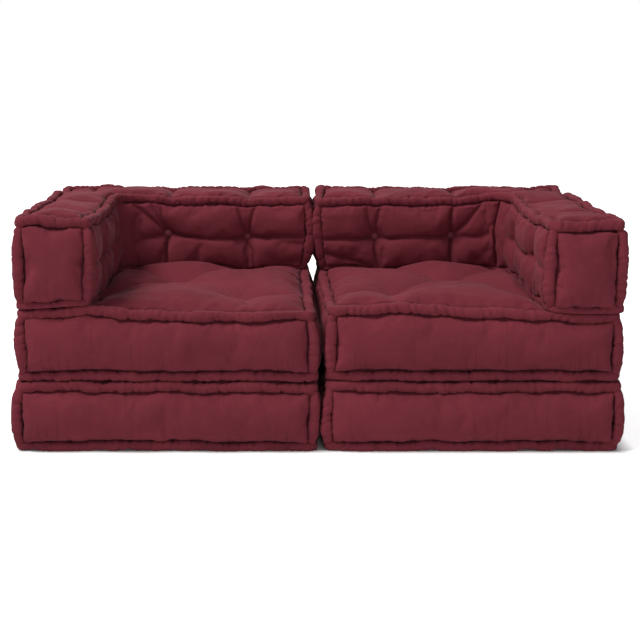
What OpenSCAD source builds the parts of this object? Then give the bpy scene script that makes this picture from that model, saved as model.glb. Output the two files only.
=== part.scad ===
// Floor sofa made of two mirrored corner modules that stand side by side.
// A module is a stack of three loose cushions: a base mattress, a seat mattress,
// and an L-shaped cushion that is both the back and the arm. Each cushion has a padded
// cover, a filling, a stitched roll round its edges, and twine that ties pairs of buttons.
// Millimetres, +Z up, front towards -Y, origin on the floor in the middle of the sofa.

/* [Module] */
// Width of one module
module_w = 700; // [620:10:860]
// Depth of one module
module_d = 700; // [620:10:860]
// Gap between the two modules
module_gap = 10; // [8:1:40]

/* [Cushions] */
// Thickness of the base mattress
base_h = 168; // [140:2:240]
// Thickness of the seat mattress
seat_h = 170; // [140:2:240]
// Height of the back and arm cushion
back_h = 202; // [160:2:300]
// Thickness of the back, front to back
back_t = 180; // [156:2:230]
// Width of the arm
arm_t = 180; // [156:2:230]

/* [Swell] */
// Swell of the seat top above its rolled edge, where nothing stands on it
seat_crown = 22; // [0:1:28]
// Swell of the top of the back and arm
back_crown = 8; // [0:1:16]
// Swell of the front, rear and outer faces
face_crown = 8; // [0:1:14]
// Swell of the faces between the two modules
gap_crown = 2; // [0:0.5:3]

/* [Rolled edges] */
// Diameter of the stitched roll
roll_d = 25; // [18:1:28]
// Radius of the roll's bend at the inner corner of the back and arm
inner_bend = 45; // [25:1:60]

/* [Tufts] */
// From the middle of a mattress to each outer tuft, in width and in depth
mattress_tuft = 175; // [130:5:210]
// Depth of a mattress tuft below the rolled edges
mattress_tuft_depth = 15; // [6:1:22]
// Width of the hollow round a mattress tuft
mattress_tuft_w = 120; // [60:5:160]
// From the free end of the back or arm to its first tuft
back_tuft_end = 170; // [130:5:200]
// From the first tuft of the back or arm to its second
back_tuft_pitch = 215; // [150:5:230]
// Depth of a back or arm tuft below the rolled edges
back_tuft_depth = 20; // [8:1:24]
// Width of the hollow round a back or arm tuft
back_tuft_w = 90; // [50:5:120]
// Depth of the upright crease through each back or arm tuft
crease = 6; // [0:1:8]
// Depth of the pinch across the top of the back and arm at each tuft
top_pinch = 12; // [0:1:14]

/* [Buttons and twine] */
// Diameter of a covered button
button_d = 19; // [12:1:24]
// Height of its dome
button_h = 6; // [4:0.5:9]
// How deep its flat back is let into the cover
button_seat = 1; // [0.5:0.25:3]
// Diameter of the tufting twine
twine_d = 2; // [1.5:0.25:4]
// Room round the twine where it runs through the filling
twine_room = 1; // [0.5:0.25:3]

/* [Padding] */
// Padding of the cover that is left behind a tuft
padding = 13; // [9:1:20]

/* [Hidden] */
$fn = 48;

cover_colour = [0.44, 0.18, 0.22];
roll_colour = [0.48, 0.20, 0.25];
button_colour = [0.40, 0.16, 0.20];
twine_colour = [0.30, 0.12, 0.15];
filling_colour = [0.91, 0.87, 0.78];

lay_gap = 0.3;      // between one cushion and the next in the stack
fit_gap = 0.3;      // round a filling and round a button
thread_gap = 0.3;   // round the twine in the cover
seam_gap = 0.4;     // between a roll and the seam line beside it
foot_cut = 0.5;     // flat cut under the rolls that stand on the floor
knot_step = 0.2;    // a corner knot is this much thinner than the rolls that meet in it
post_step = 0.4;    // an upright roll is this much thinner than the flat ones

roll_r = roll_d / 2;
button_r = button_d / 2;
filling_bore_r = twine_d / 2 + twine_room;
half_w = module_w / 2;
half_d = module_d / 2;
arm_x = -half_w + arm_t;
back_y = half_d - back_t;
seat_z = base_h + lay_gap;
back_z = seat_z + seat_h + lay_gap;

// A seam line lies just inside the roll, as far from both planes that meet at the edge.
seam = roll_r * (1 + sqrt(0.5)) + seam_gap;
row_1 = 0.38 * roll_d;
row_2 = 1.2 * roll_d;
seat_step = 35;     // from the back and arm to where the seat is swollen beside them
seat_slope = 100;   // from the other edges of the seat to where it is fully swollen
face_step = 6;      // the seat stays flat this close to the back and arm
seam_bend = inner_bend + seam - roll_r;

mattress_wall = max(mattress_tuft_depth + padding, seam + 4);
back_wall = max(back_tuft_depth + padding, seam + 4);

// Tufts: five in a mattress, two in the back and two in the arm.
mattress_tufts = [
    [0, 0], [-mattress_tuft, -mattress_tuft], [mattress_tuft, -mattress_tuft],
    [-mattress_tuft, mattress_tuft], [mattress_tuft, mattress_tuft]
];
back_tufts_x = [for (i = [0:1]) half_w - back_tuft_end - i * back_tuft_pitch];
arm_tufts_y = [for (i = [0:1]) -half_d + back_tuft_end + i * back_tuft_pitch];
corner_tuft = [-half_w + arm_t / 2, half_d - back_t / 2];

// A soft hollow of radius r: 1 in the middle, and 0 from about twice the radius on.
function bell(d, r) = max(0, exp(-pow(d / r, 2)) - 0.02) / 0.98;
function spread(a, b, n) = [for (i = [1:n]) a + (b - a) * i / n];
function in_order(v) = len(v) < 2 ? v : concat(
    in_order([for (q = v) if (q < v[0]) q]), [v[0]], in_order([for (q = v) if (q > v[0]) q]));
function rise(d) = seam * (1 - pow(1 - min(d / row_2, 1), 2.6));
function hump(d, reach) = 1 - pow(1 - min(d / reach, 1), 2);
function dent(out, b, depth) = out * (1 - b) + (seam - depth) * b;

// The lines of the lattice that a form is built on, close together beside each seam.
function beside_seams(a, b) = [a, a + row_1, a + row_2, (a + b) / 2, b - row_2, b - row_1, b];
// Lines through the tufts, and through the extra places that aren't right beside another line.
function mattress_lines(half, extra) = let (
    e = half - seam,
    tufts = [-e + row_2, -mattress_tuft, 0, mattress_tuft, e - row_2],
    stops = in_order(concat(tufts, [for (v = extra) if (min([for (t = tufts) abs(v - t)]) > face_step) v])))
    concat([-e, -e + row_1, -e + row_2],
        [for (i = [1:len(stops) - 1]) each
            spread(stops[i - 1], stops[i], ceil((stops[i] - stops[i - 1]) / 75))],
        [e - row_1, e]);
function back_lines(start, stations, end) = concat(
    spread(start, start + seam_bend, 2), spread(start + seam_bend, stations[1], 2),
    spread(stations[1], stations[0], 4),
    spread(stations[0], end - row_2, 2), [end - row_1, end]);

// A closed form on the lattice xs, ys, zs. Cells past column notch[0] and before row notch[1]
// are left out, which makes the form an L, with its inner corner rounded by the radius bend.
// The points of each face move outwards by swell[face](point, distance to the nearest seam),
// faces in the order -X +X -Y +Y -Z +Z.
module padded_form(xs, ys, zs, notch, bend, swell) {
    nx = len(xs) - 1;
    ny = len(ys) - 1;
    nz = len(zs) - 1;
    steps = [[1, 0, 0], [0, 1, 0], [0, 0, 1]];

    function filled(c) = c[0] >= 0 && c[1] >= 0 && c[2] >= 0 && c[0] < nx && c[1] < ny && c[2] < nz
        && !(c[0] >= notch[0] && c[1] < notch[1]);
    // True where the point is a corner of a cell wall that looks out along the axis.
    function faces_out(c, a, up) = let (b = (a + 1) % 3, e = (a + 2) % 3)
        len([for (q = [0:1], s = [0:1])
            let (high = c - q * steps[b] - s * steps[e], low = high - steps[a])
            if (filled(up ? low : high) && !filled(up ? high : low)) 1]) > 0;

    x_end = xs[nx];
    y_end = ys[ny];
    notch_x = notch[0] > nx ? x_end : xs[notch[0]];
    notch_y = notch[0] > nx ? ys[0] : ys[notch[1]];
    function to_ends(v, list) = min(v - list[0], list[len(list) - 1] - v);
    function seam_x(p, up) = min(to_ends(p[2], zs), y_end - p[1],
        up && p[0] > notch_x ? p[1] - notch_y : p[1] - ys[0]);
    function inner_x(p) = min(to_ends(p[2], zs), p[1] - ys[0]);
    function seam_y(p, up) = min(to_ends(p[2], zs), p[0] - xs[0],
        !up && notch[0] <= nx ? notch_x - p[0] : x_end - p[0]);
    function inner_y(p) = min(to_ends(p[2], zs), x_end - p[0]);
    function seam_z(p) = min(to_ends(p[0], xs), to_ends(p[1], ys),
        notch[0] > nx ? x_end - xs[0] : norm([max(notch_x - p[0], 0), max(p[1] - notch_y, 0)]));
    function seam_distance(p, f) =
        f == 1 && p[0] == notch_x && notch[0] <= nx ? inner_x(p) :
        f == 2 && p[1] == notch_y && notch[0] <= nx ? inner_y(p) :
        f < 2 ? seam_x(p, f == 1) : f < 4 ? seam_y(p, f == 3) : seam_z(p);
    function out(c, p, f) = !faces_out(c, floor(f / 2), f % 2 == 1) ? 0 :
        let (d = seam_distance(p, f)) d <= 0 ? 0 : swell[f](p, d);
    // Points of the inner corner lie on a circle, a little outside it, so that the flat
    // walls between them don't cut inside it.
    function from_corner(c, p) = c[0] >= notch[0] && c[1] == notch[1] ? p[0] - notch_x :
        c[0] == notch[0] && c[1] < notch[1] ? p[1] - notch_y : bend;
    function rounded(p, run) = abs(run) >= bend ? p : let (a = 135 - 45 * run / bend)
        [notch_x + bend + bend / cos(11.25) * cos(a), notch_y - bend + bend / cos(11.25) * sin(a), p[2]];
    function moved(c) = let (p = [xs[c[0]], ys[c[1]], zs[c[2]]], run = from_corner(c, p),
        side = run == 0 ? sqrt(0.5) : 1, scale = [side, side, 1])
        rounded(p, run) + [for (a = [0:2]) scale[a] * (out(c, p, 2 * a + 1) - out(c, p, 2 * a))];

    function index(c) = (c[0] * (ny + 1) + c[1]) * (nz + 1) + c[2];
    function wall(c, a, up) = let (
        u = steps[(a + 1) % 3], v = steps[(a + 2) % 3], o = up ? c + steps[a] : c,
        q = [index(o), index(o + u), index(o + u + v), index(o + v)],
        odd = (c[0] + c[1] + c[2] + (up ? 0 : 1)) % 2 == 1,
        t = odd ? [[q[0], q[1], q[2]], [q[0], q[2], q[3]]] : [[q[0], q[1], q[3]], [q[1], q[2], q[3]]])
        up ? [for (f = t) [f[2], f[1], f[0]]] : t;

    polyhedron(
        points = [for (i = [0:nx], j = [0:ny], k = [0:nz]) moved([i, j, k])],
        faces = [for (i = [0:nx - 1], j = [0:ny - 1], k = [0:nz - 1], a = [0:2], up = [false, true])
            let (c = [i, j, k], beyond = c + (up ? 1 : -1) * steps[a])
            if (filled(c) && !filled(beyond)) each wall(c, a, up)]);
}

// Stitched rolls along a loop of corners, once at the top and once at the bottom, with an
// upright roll at each corner whose index is in posts. The run that starts at corner bend_at
// is a quarter turn of radius inner_bend to the left of its start and short of its end.
module edge_rolls(corners, height, posts, foot = 0, bend_at = -1) {
    levels = [roll_r - foot, height - roll_r];
    difference() {
        union() {
            for (z = levels, i = [0:len(corners) - 1]) {
                a = corners[i];
                b = corners[(i + 1) % len(corners)];
                if (i == bend_at)
                    translate([b[0], a[1], z]) rotate([0, 0, 90])
                        rotate_extrude(angle = 90) translate([inner_bend, 0]) circle(r = roll_r);
                else
                    translate([a[0], a[1], z]) rotate([0, 0, atan2(b[1] - a[1], b[0] - a[0])])
                        rotate([0, 90, 0]) cylinder(r = roll_r, h = norm(b - a));
                if (len([for (k = posts) if (k == i) k]) > 0)
                    translate([a[0], a[1], z]) sphere(r = roll_r - knot_step);
            }
            for (i = posts)
                translate([corners[i][0], corners[i][1], levels[0]])
                    cylinder(r = roll_r - post_step, h = levels[1] - levels[0]);
        }
        if (foot > 0)
            translate([-module_w, -module_d, -roll_d]) cube([2 * module_w, 2 * module_d, roll_d]);
    }
}

// One tuft runs from z = 0 to z = length, which lie in the two outer planes of its cushion.
module button_pair(length, depth) {
    ball_r = (button_r * button_r + button_h * button_h) / (2 * button_h);
    for (far = [0, 1])
        translate([0, 0, far * length]) mirror([0, 0, far]) translate([0, 0, depth + button_seat])
            intersection() {
                translate([0, 0, ball_r - button_h]) sphere(r = ball_r);
                translate([-button_d, -button_d, -2 * button_h])
                    cube([2 * button_d, 2 * button_d, 2 * button_h]);
            }
}

module button_ways(length, depth) {
    for (far = [0, 1])
        translate([0, 0, far * length]) mirror([0, 0, far]) translate([0, 0, -roll_d])
            cylinder(r = button_r + fit_gap, h = depth + button_seat + roll_d);
    cylinder(r = twine_d / 2 + thread_gap, h = length);
}

module twine_line(length, depth) {
    translate([0, 0, depth + button_seat])
        cylinder(r = twine_d / 2, h = length - 2 * (depth + button_seat));
}

module at_mattress_tufts() {
    for (t = mattress_tufts) translate([t[0], t[1], 0]) children();
}

module at_back_tufts() {
    for (x = back_tufts_x) translate([x, half_d, back_h / 2]) rotate([90, 0, 0]) children();
}

module at_arm_tufts() {
    for (y = arm_tufts_y) translate([-half_w, y, back_h / 2]) rotate([0, 90, 0]) children();
}

// Mattresses, with the middle of the underside at the origin.
function mattress_bell(p) = max([for (t = mattress_tufts)
    bell(norm([p[0] - t[0], p[1] - t[1]]), mattress_tuft_w / 2)]);

module mattress_cover(height, crown) {
    reach = height / 2 - seam;
    xs = mattress_lines(half_w, [arm_x, arm_x + seat_step]);
    ys = mattress_lines(half_d, [back_y - seat_step, back_y]);
    function beside(v) = v > face_step ? min(v / seat_step, 1) : 0;
    upright = function (p, d) rise(d) + face_crown * hump(d, reach);
    beside_gap = function (p, d) rise(d) + gap_crown * hump(d, reach);
    under = function (p, d) dent(rise(d), mattress_bell(p), mattress_tuft_depth);
    above = function (p, d)
        dent(rise(d) + crown * beside(p[0] - arm_x) * beside(back_y - p[1]) * hump(d, seat_slope),
            mattress_bell(p), mattress_tuft_depth);
    difference() {
        padded_form(xs, ys, beside_seams(seam, height - seam), [100, 0], 0,
            [upright, beside_gap, upright, upright, under, above]);
        translate([-half_w + mattress_wall, -half_d + mattress_wall, mattress_wall])
            cube([module_w - 2 * mattress_wall, module_d - 2 * mattress_wall,
                height - 2 * mattress_wall]);
        at_mattress_tufts() button_ways(height, mattress_tuft_depth);
    }
}

module mattress_filling(height) {
    wall = mattress_wall + fit_gap;
    difference() {
        translate([-half_w + wall, -half_d + wall, wall])
            cube([module_w - 2 * wall, module_d - 2 * wall, height - 2 * wall]);
        at_mattress_tufts() cylinder(r = filling_bore_r, h = height);
    }
}

module mattress_rolls(height, foot = 0) {
    x = half_w - roll_r;
    y = half_d - roll_r;
    edge_rolls([[-x, -y], [x, -y], [x, y], [-x, y]], height, [0:3], foot);
}

module base_cover() {
    color(cover_colour) mattress_cover(base_h, 0);
}

module base_filling() {
    color(filling_colour) mattress_filling(base_h);
}

module base_edge_roll() {
    color(roll_colour) mattress_rolls(base_h, foot_cut);
}

module base_buttons() {
    color(button_colour) at_mattress_tufts() button_pair(base_h, mattress_tuft_depth);
}

module base_twine() {
    color(twine_colour) at_mattress_tufts() twine_line(base_h, mattress_tuft_depth);
}

module seat_cover() {
    color(cover_colour) mattress_cover(seat_h, seat_crown);
}

module seat_filling() {
    color(filling_colour) mattress_filling(seat_h);
}

module seat_edge_roll() {
    color(roll_colour) mattress_rolls(seat_h);
}

module seat_buttons() {
    color(button_colour) at_mattress_tufts() button_pair(seat_h, mattress_tuft_depth);
}

module seat_twine() {
    color(twine_colour) at_mattress_tufts() twine_line(seat_h, mattress_tuft_depth);
}

// The back and arm cushion, with the arm along -X and the back along +Y.
function back_bell(v, z, stations) = max([for (s = stations)
    bell(norm([v - s, z - back_h / 2]), back_tuft_w / 2)]);
function crease_at(v, stations) = max([for (s = stations) bell(v - s, back_tuft_w / 4)]);

module back_cover() {
    reach = back_h / 2 - seam;
    xs = concat(beside_seams(-half_w + seam, arm_x - seam),
        back_lines(arm_x - seam, back_tufts_x, half_w - seam));
    forward = back_lines(-back_y - seam, -arm_tufts_y, half_d - seam);
    ys = concat([for (i = [len(forward) - 1:-1:0]) -forward[i]],
        beside_seams(back_y + seam, half_d - seam));

    function tufted(p, d, v, stations) =
        dent(rise(d) + (face_crown - crease * crease_at(v, stations)) * hump(d, reach),
            back_bell(v, p[2], stations), back_tuft_depth);
    outer = function (p, d) tufted(p, d, p[1], arm_tufts_y);
    right = function (p, d) p[0] > arm_x ? rise(d) + gap_crown * hump(d, reach) :
        tufted(p, d, p[1], arm_tufts_y);
    front = function (p, d) p[1] < back_y ? rise(d) + face_crown * hump(d, reach) :
        tufted(p, d, p[0], back_tufts_x);
    rear = function (p, d) tufted(p, d, p[0], back_tufts_x);
    under = function (p, d) rise(d);
    above = function (p, d) rise(d) + back_crown * hump(d, arm_t / 2 - seam) - top_pinch * hump(d, row_2)
        * max(p[1] > back_y ? crease_at(p[0], concat(back_tufts_x, [corner_tuft[0]])) : 0,
            p[0] < arm_x ? crease_at(p[1], concat(arm_tufts_y, [corner_tuft[1]])) : 0);
    color(cover_colour) difference() {
        padded_form(xs, ys, beside_seams(seam, back_h - seam), [6, len(forward)],
            seam_bend, [outer, right, front, rear, under, above]);
        translate([-half_w + back_wall, -half_d + back_wall, back_wall])
            cube([arm_t - 2 * back_wall, module_d - 2 * back_wall, back_h - 2 * back_wall]);
        translate([-half_w + back_wall, back_y + back_wall, back_wall])
            cube([module_w - 2 * back_wall, back_t - 2 * back_wall, back_h - 2 * back_wall]);
        at_back_tufts() button_ways(back_t, back_tuft_depth);
        at_arm_tufts() button_ways(arm_t, back_tuft_depth);
    }
}

module back_filling() {
    wall = back_wall + fit_gap;
    color(filling_colour) difference() {
        translate([-half_w + wall, back_y + wall, wall])
            cube([module_w - 2 * wall, back_t - 2 * wall, back_h - 2 * wall]);
        at_back_tufts() cylinder(r = filling_bore_r, h = back_t);
    }
}

module arm_filling() {
    wall = back_wall + fit_gap;
    color(filling_colour) difference() {
        translate([-half_w + wall, -half_d + wall, wall])
            cube([arm_t - 2 * wall, back_y + half_d - fit_gap, back_h - 2 * wall]);
        at_arm_tufts() cylinder(r = filling_bore_r, h = arm_t);
    }
}

module back_edge_roll() {
    x = half_w - roll_r;
    y = half_d - roll_r;
    inner = [arm_x - roll_r, back_y + roll_r];
    color(roll_colour) edge_rolls(
        [[-x, -y], [inner[0], -y], inner - [0, inner_bend], inner + [inner_bend, 0],
            [x, inner[1]], [x, y], [-x, y]], back_h, [0, 1, 4, 5, 6], bend_at = 2);
}

module back_buttons() {
    color(button_colour) {
        at_back_tufts() button_pair(back_t, back_tuft_depth);
        at_arm_tufts() button_pair(arm_t, back_tuft_depth);
    }
}

module back_twine() {
    color(twine_colour) {
        at_back_tufts() twine_line(back_t, back_tuft_depth);
        at_arm_tufts() twine_line(arm_t, back_tuft_depth);
    }
}

module on_left(z) {
    translate([-(module_w + module_gap) / 2, 0, z]) children();
}

module on_right(z) {
    mirror([1, 0, 0]) on_left(z) children();
}

module left_base_cover() { on_left(0) base_cover(); }
module left_base_filling() { on_left(0) base_filling(); }
module left_base_edge_roll() { on_left(0) base_edge_roll(); }
module left_base_buttons() { on_left(0) base_buttons(); }
module left_base_twine() { on_left(0) base_twine(); }
module left_seat_cover() { on_left(seat_z) seat_cover(); }
module left_seat_filling() { on_left(seat_z) seat_filling(); }
module left_seat_edge_roll() { on_left(seat_z) seat_edge_roll(); }
module left_seat_buttons() { on_left(seat_z) seat_buttons(); }
module left_seat_twine() { on_left(seat_z) seat_twine(); }
module left_back_cover() { on_left(back_z) back_cover(); }
module left_back_filling() { on_left(back_z) back_filling(); }
module left_arm_filling() { on_left(back_z) arm_filling(); }
module left_back_edge_roll() { on_left(back_z) back_edge_roll(); }
module left_back_buttons() { on_left(back_z) back_buttons(); }
module left_back_twine() { on_left(back_z) back_twine(); }
module right_base_cover() { on_right(0) base_cover(); }
module right_base_filling() { on_right(0) base_filling(); }
module right_base_edge_roll() { on_right(0) base_edge_roll(); }
module right_base_buttons() { on_right(0) base_buttons(); }
module right_base_twine() { on_right(0) base_twine(); }
module right_seat_cover() { on_right(seat_z) seat_cover(); }
module right_seat_filling() { on_right(seat_z) seat_filling(); }
module right_seat_edge_roll() { on_right(seat_z) seat_edge_roll(); }
module right_seat_buttons() { on_right(seat_z) seat_buttons(); }
module right_seat_twine() { on_right(seat_z) seat_twine(); }
module right_back_cover() { on_right(back_z) back_cover(); }
module right_back_filling() { on_right(back_z) back_filling(); }
module right_arm_filling() { on_right(back_z) arm_filling(); }
module right_back_edge_roll() { on_right(back_z) back_edge_roll(); }
module right_back_buttons() { on_right(back_z) back_buttons(); }
module right_back_twine() { on_right(back_z) back_twine(); }

left_base_cover();
left_base_filling();
left_base_edge_roll();
left_base_buttons();
left_base_twine();
left_seat_cover();
left_seat_filling();
left_seat_edge_roll();
left_seat_buttons();
left_seat_twine();
left_back_cover();
left_back_filling();
left_arm_filling();
left_back_edge_roll();
left_back_buttons();
left_back_twine();
right_base_cover();
right_base_filling();
right_base_edge_roll();
right_base_buttons();
right_base_twine();
right_seat_cover();
right_seat_filling();
right_seat_edge_roll();
right_seat_buttons();
right_seat_twine();
right_back_cover();
right_back_filling();
right_arm_filling();
right_back_edge_roll();
right_back_buttons();
right_back_twine();
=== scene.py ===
import math

import bpy
import numpy as np
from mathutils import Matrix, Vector


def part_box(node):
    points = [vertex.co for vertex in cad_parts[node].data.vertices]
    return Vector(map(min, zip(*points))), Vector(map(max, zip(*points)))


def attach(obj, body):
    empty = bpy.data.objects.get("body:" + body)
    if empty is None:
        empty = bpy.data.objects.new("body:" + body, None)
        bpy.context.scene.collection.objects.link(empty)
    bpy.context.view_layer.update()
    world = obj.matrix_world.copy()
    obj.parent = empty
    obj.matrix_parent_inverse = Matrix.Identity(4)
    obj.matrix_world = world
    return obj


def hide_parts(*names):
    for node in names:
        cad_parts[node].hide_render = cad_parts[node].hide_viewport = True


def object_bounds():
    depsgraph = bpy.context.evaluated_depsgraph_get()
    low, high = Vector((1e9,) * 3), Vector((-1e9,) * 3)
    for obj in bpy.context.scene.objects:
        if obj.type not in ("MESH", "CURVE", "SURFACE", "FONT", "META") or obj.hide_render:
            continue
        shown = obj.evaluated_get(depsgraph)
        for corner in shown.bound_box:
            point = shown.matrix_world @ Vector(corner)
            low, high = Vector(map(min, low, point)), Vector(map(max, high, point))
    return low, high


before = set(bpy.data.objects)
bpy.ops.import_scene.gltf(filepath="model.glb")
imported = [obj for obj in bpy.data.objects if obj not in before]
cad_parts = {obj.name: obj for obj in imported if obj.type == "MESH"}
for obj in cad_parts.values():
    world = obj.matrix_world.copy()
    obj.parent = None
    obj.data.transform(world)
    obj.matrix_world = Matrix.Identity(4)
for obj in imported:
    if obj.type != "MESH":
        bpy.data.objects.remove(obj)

# Floor sofa of two mirrored corner modules, each a stack of three loose tufted cushions.
# Metres, +Z up, front towards -Y. A cushion is built in its module's own frame, with x = 0
# and y = 0 in the middle of the module, the arm at -x, and z = 0 at the cushion's underside.

cadBox = [list(corner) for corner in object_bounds()]
scene = bpy.context.scene
rollLow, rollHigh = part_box("left_base_edge_roll")

module = {
    "halfWidth": (rollHigh.x - rollLow.x) / 2,
    "halfDepth": (rollHigh.y - rollLow.y) / 2,
    "middle": -(rollHigh.x + rollLow.x) / 2,   # from the sofa's middle to a module's middle
    "backThick": 0.18,
    "armThick": 0.18,
    "seamInset": 0.0217,     # from the outer planes to a seam line
    "innerBend": 0.085,      # of the cover at the inner corner of the back and arm
    "pitch": {"mattress": 0.0085, "corner": 0.0066},   # of the cloth's mesh before it is smoothed
    "seamRows": [0.003, 0.007, 0.013],                 # its rows beside a seam
    "ease": {"reach": 0.12, "steps": 40},              # of the flat faces beside the inner bend
    "skin": 0.0004, "rollSkin": 0.0002, "floor": 0.001,   # room left between what lies on each other
}
armFace = -module["halfWidth"] + module["armThick"]
backFace = module["halfDepth"] - module["backThick"]
outerSeams = (module["halfWidth"] - module["seamInset"], module["halfDepth"] - module["seamInset"])
innerSeams = (armFace - module["seamInset"], backFace + module["seamInset"])

# The hand of each module: the way its arm points, and what its sewer did a little differently.
# lifts are where the top of the seat stands higher or lower, with what lies on it: x, y, reach, rise.
# outward is how far the sides of a cushion stand out, at its foot, middle and top.
# tuftShifts are the back's tufts that were tied a little off their place: x, and the way they moved.
hands = {
    "left": {
        "side": 1, "seed": 11,
        "lifts": [(-0.26, -0.35, 0.13, 0.004), (-0.17, -0.37, 0.09, 0.008), (0.18, -0.36, 0.14, -0.006)],
        "armFrontUp": 0.010, "armOuterUp": 0.0155, "rearUp": 0.0130, "innerCornerUp": 0.012,
        "outward": {
            "base": {"arm": (0.014, 0.015, 0.012), "gap": (0.005, 0.004, 0.002), "front": 0.006},
            "seat": {"arm": (0.008, 0.001, 0.004), "gap": (0.006, 0.001, -0.005), "front": 0},
            "back": {"arm": (0.009, -0.002, 0.002), "gap": (-0.010, 0.001, -0.001), "front": 0},
        },
        "tuftShifts": [(0.18, -0.005, -0.010), (-0.035, -0.004, 0.0)],
    },
    "right": {
        "side": -1, "seed": 47,
        "lifts": [(-0.30, -0.34, 0.15, -0.010), (0.14, -0.37, 0.20, 0.016)],
        "armFrontUp": 0.014, "armOuterUp": 0.011, "rearUp": 0.0125, "innerCornerUp": 0.015,
        "outward": {
            "base": {"arm": (0.006, 0.008, 0.009), "gap": (-0.003, -0.004, -0.007), "front": 0.006},
            "seat": {"arm": (0.004, 0.001, 0.001), "gap": (-0.012, -0.014, -0.011), "front": 0},
            "back": {"arm": (0.006, 0.001, 0.003), "gap": (-0.017, 0.0, -0.006), "front": 0},
        },
        "tuftShifts": [(0.18, 0.007, -0.008), (-0.035, 0.010, -0.008)],
    },
}


def levelOf(kind):
    # how high a cushion's underside lies above the floor, and the cushion's own height
    low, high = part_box("left_" + kind + "_edge_roll")
    return low.z, high.z - low.z


def waves(points, size, seed, count=16):
    # smooth wandering values of about -2 to 2, which change over the given size
    draw = np.random.default_rng(seed)
    ways = draw.normal(size=(count, points.shape[1]))
    lengths = draw.uniform(0.65, 1.5, (count, 1)) * size
    ways *= 2 * math.pi / lengths / np.linalg.norm(ways, axis=1, keepdims=True)
    phases = draw.uniform(0, 2 * math.pi, count)
    return np.sin(points @ ways.T + phases).sum(1) / math.sqrt(count / 2)


def smooth(value):
    t = np.clip(value, 0, 1)
    return t * t * (3 - 2 * t)


# Where twine ties the faces of a cushion together: over a mattress, and along the back and the arm.
tufts = {
    "mattress": [(0, 0), (-0.175, -0.175), (0.175, -0.175), (-0.175, 0.175), (0.175, 0.175)],
    "rows": [-0.175, 0, 0.175],    # of a mattress, both ways
    "backX": [0.18, -0.035],
    "armY": [-0.18, 0.035],
}

# The cloth of a mattress dips in soft valleys that run out from its tufts.
valleys = [([(0, 0), (x, y)], 0.012, 0.034) for x, y in tufts["mattress"][1:]]
valleys += [([(x, y), (1.75 * x, 1.1 * y)], 0.010, 0.030) for x, y in tufts["mattress"][1:]]
valleys += [([(x, y), (1.1 * x, 1.75 * y)], 0.010, 0.030) for x, y in tufts["mattress"][1:]]

# Folds are lines on a face, from their deep end to where they fade: points, depth, half width.
# On the inner face of the back and the rear they are (x, z), and on the arm's faces (y, z).
backFolds = {
    "left": [
        ([(-0.035, 0.101), (-0.100, 0.150), (-0.165, 0.186)], 0.012, 0.007),
        ([(-0.035, 0.101), (-0.072, 0.153), (-0.096, 0.188)], 0.012, 0.006),
        ([(-0.035, 0.101), (-0.058, 0.156), (-0.062, 0.190)], 0.010, 0.006),
        ([(-0.035, 0.101), (-0.042, 0.052), (-0.043, 0.012)], 0.020, 0.007),
        ([(-0.047, 0.057), (-0.079, 0.020)], 0.007, 0.007),
        ([(-0.035, 0.101), (-0.095, 0.089), (-0.140, 0.080)], 0.010, 0.010),
        ([(-0.035, 0.101), (0.020, 0.095), (0.072, 0.088)], 0.015, 0.008),
        ([(0.180, 0.101), (0.130, 0.092), (0.072, 0.088)], 0.015, 0.008),
        ([(0.180, 0.101), (0.237, 0.094), (0.329, 0.092)], 0.014, 0.008),
        ([(0.180, 0.101), (0.164, 0.138), (0.152, 0.180)], 0.011, 0.006),
        ([(0.180, 0.101), (0.189, 0.138), (0.200, 0.182)], 0.011, 0.006),
        ([(0.180, 0.101), (0.178, 0.066), (0.179, 0.014)], 0.014, 0.006),
        ([(0.184, 0.080), (0.192, 0.060), (0.199, 0.016)], 0.010, 0.006),
        ([(0.329, 0.035), (0.249, 0.028)], 0.006, 0.008),
        ([(0.329, 0.075), (0.266, 0.081)], 0.006, 0.008),
    ],
    "right": [
        ([(-0.035, 0.101), (-0.028, 0.150), (-0.030, 0.190)], 0.017, 0.006),
        ([(-0.035, 0.101), (-0.070, 0.135), (-0.105, 0.178)], 0.012, 0.007),
        ([(-0.035, 0.101), (-0.026, 0.052), (-0.028, 0.012)], 0.020, 0.007),
        ([(-0.010, 0.034), (0.036, 0.018)], 0.006, 0.007),
        ([(-0.035, 0.101), (0.040, 0.094), (0.085, 0.093)], 0.014, 0.008),
        ([(0.180, 0.101), (0.140, 0.094), (0.085, 0.093)], 0.014, 0.008),
        ([(0.180, 0.101), (0.240, 0.091), (0.329, 0.088)], 0.014, 0.008),
        ([(0.180, 0.101), (0.198, 0.140), (0.208, 0.182)], 0.010, 0.006),
        ([(0.180, 0.101), (0.176, 0.140), (0.168, 0.180)], 0.009, 0.006),
        ([(0.180, 0.101), (0.181, 0.060), (0.174, 0.014)], 0.013, 0.007),
        ([(0.160, 0.068), (0.169, 0.030)], 0.006, 0.006),
        ([(0.329, 0.054), (0.218, 0.030), (0.121, 0.020)], 0.008, 0.008),
        ([(-0.035, 0.101), (-0.090, 0.095), (-0.140, 0.100)], 0.007, 0.010),
        ([(-0.180, 0.192), (-0.172, 0.100), (-0.168, 0.012)], 0.016, 0.006),
        ([(-0.168, 0.012), (-0.172, 0.100)], 0.013, 0.006),
    ],
}
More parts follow.
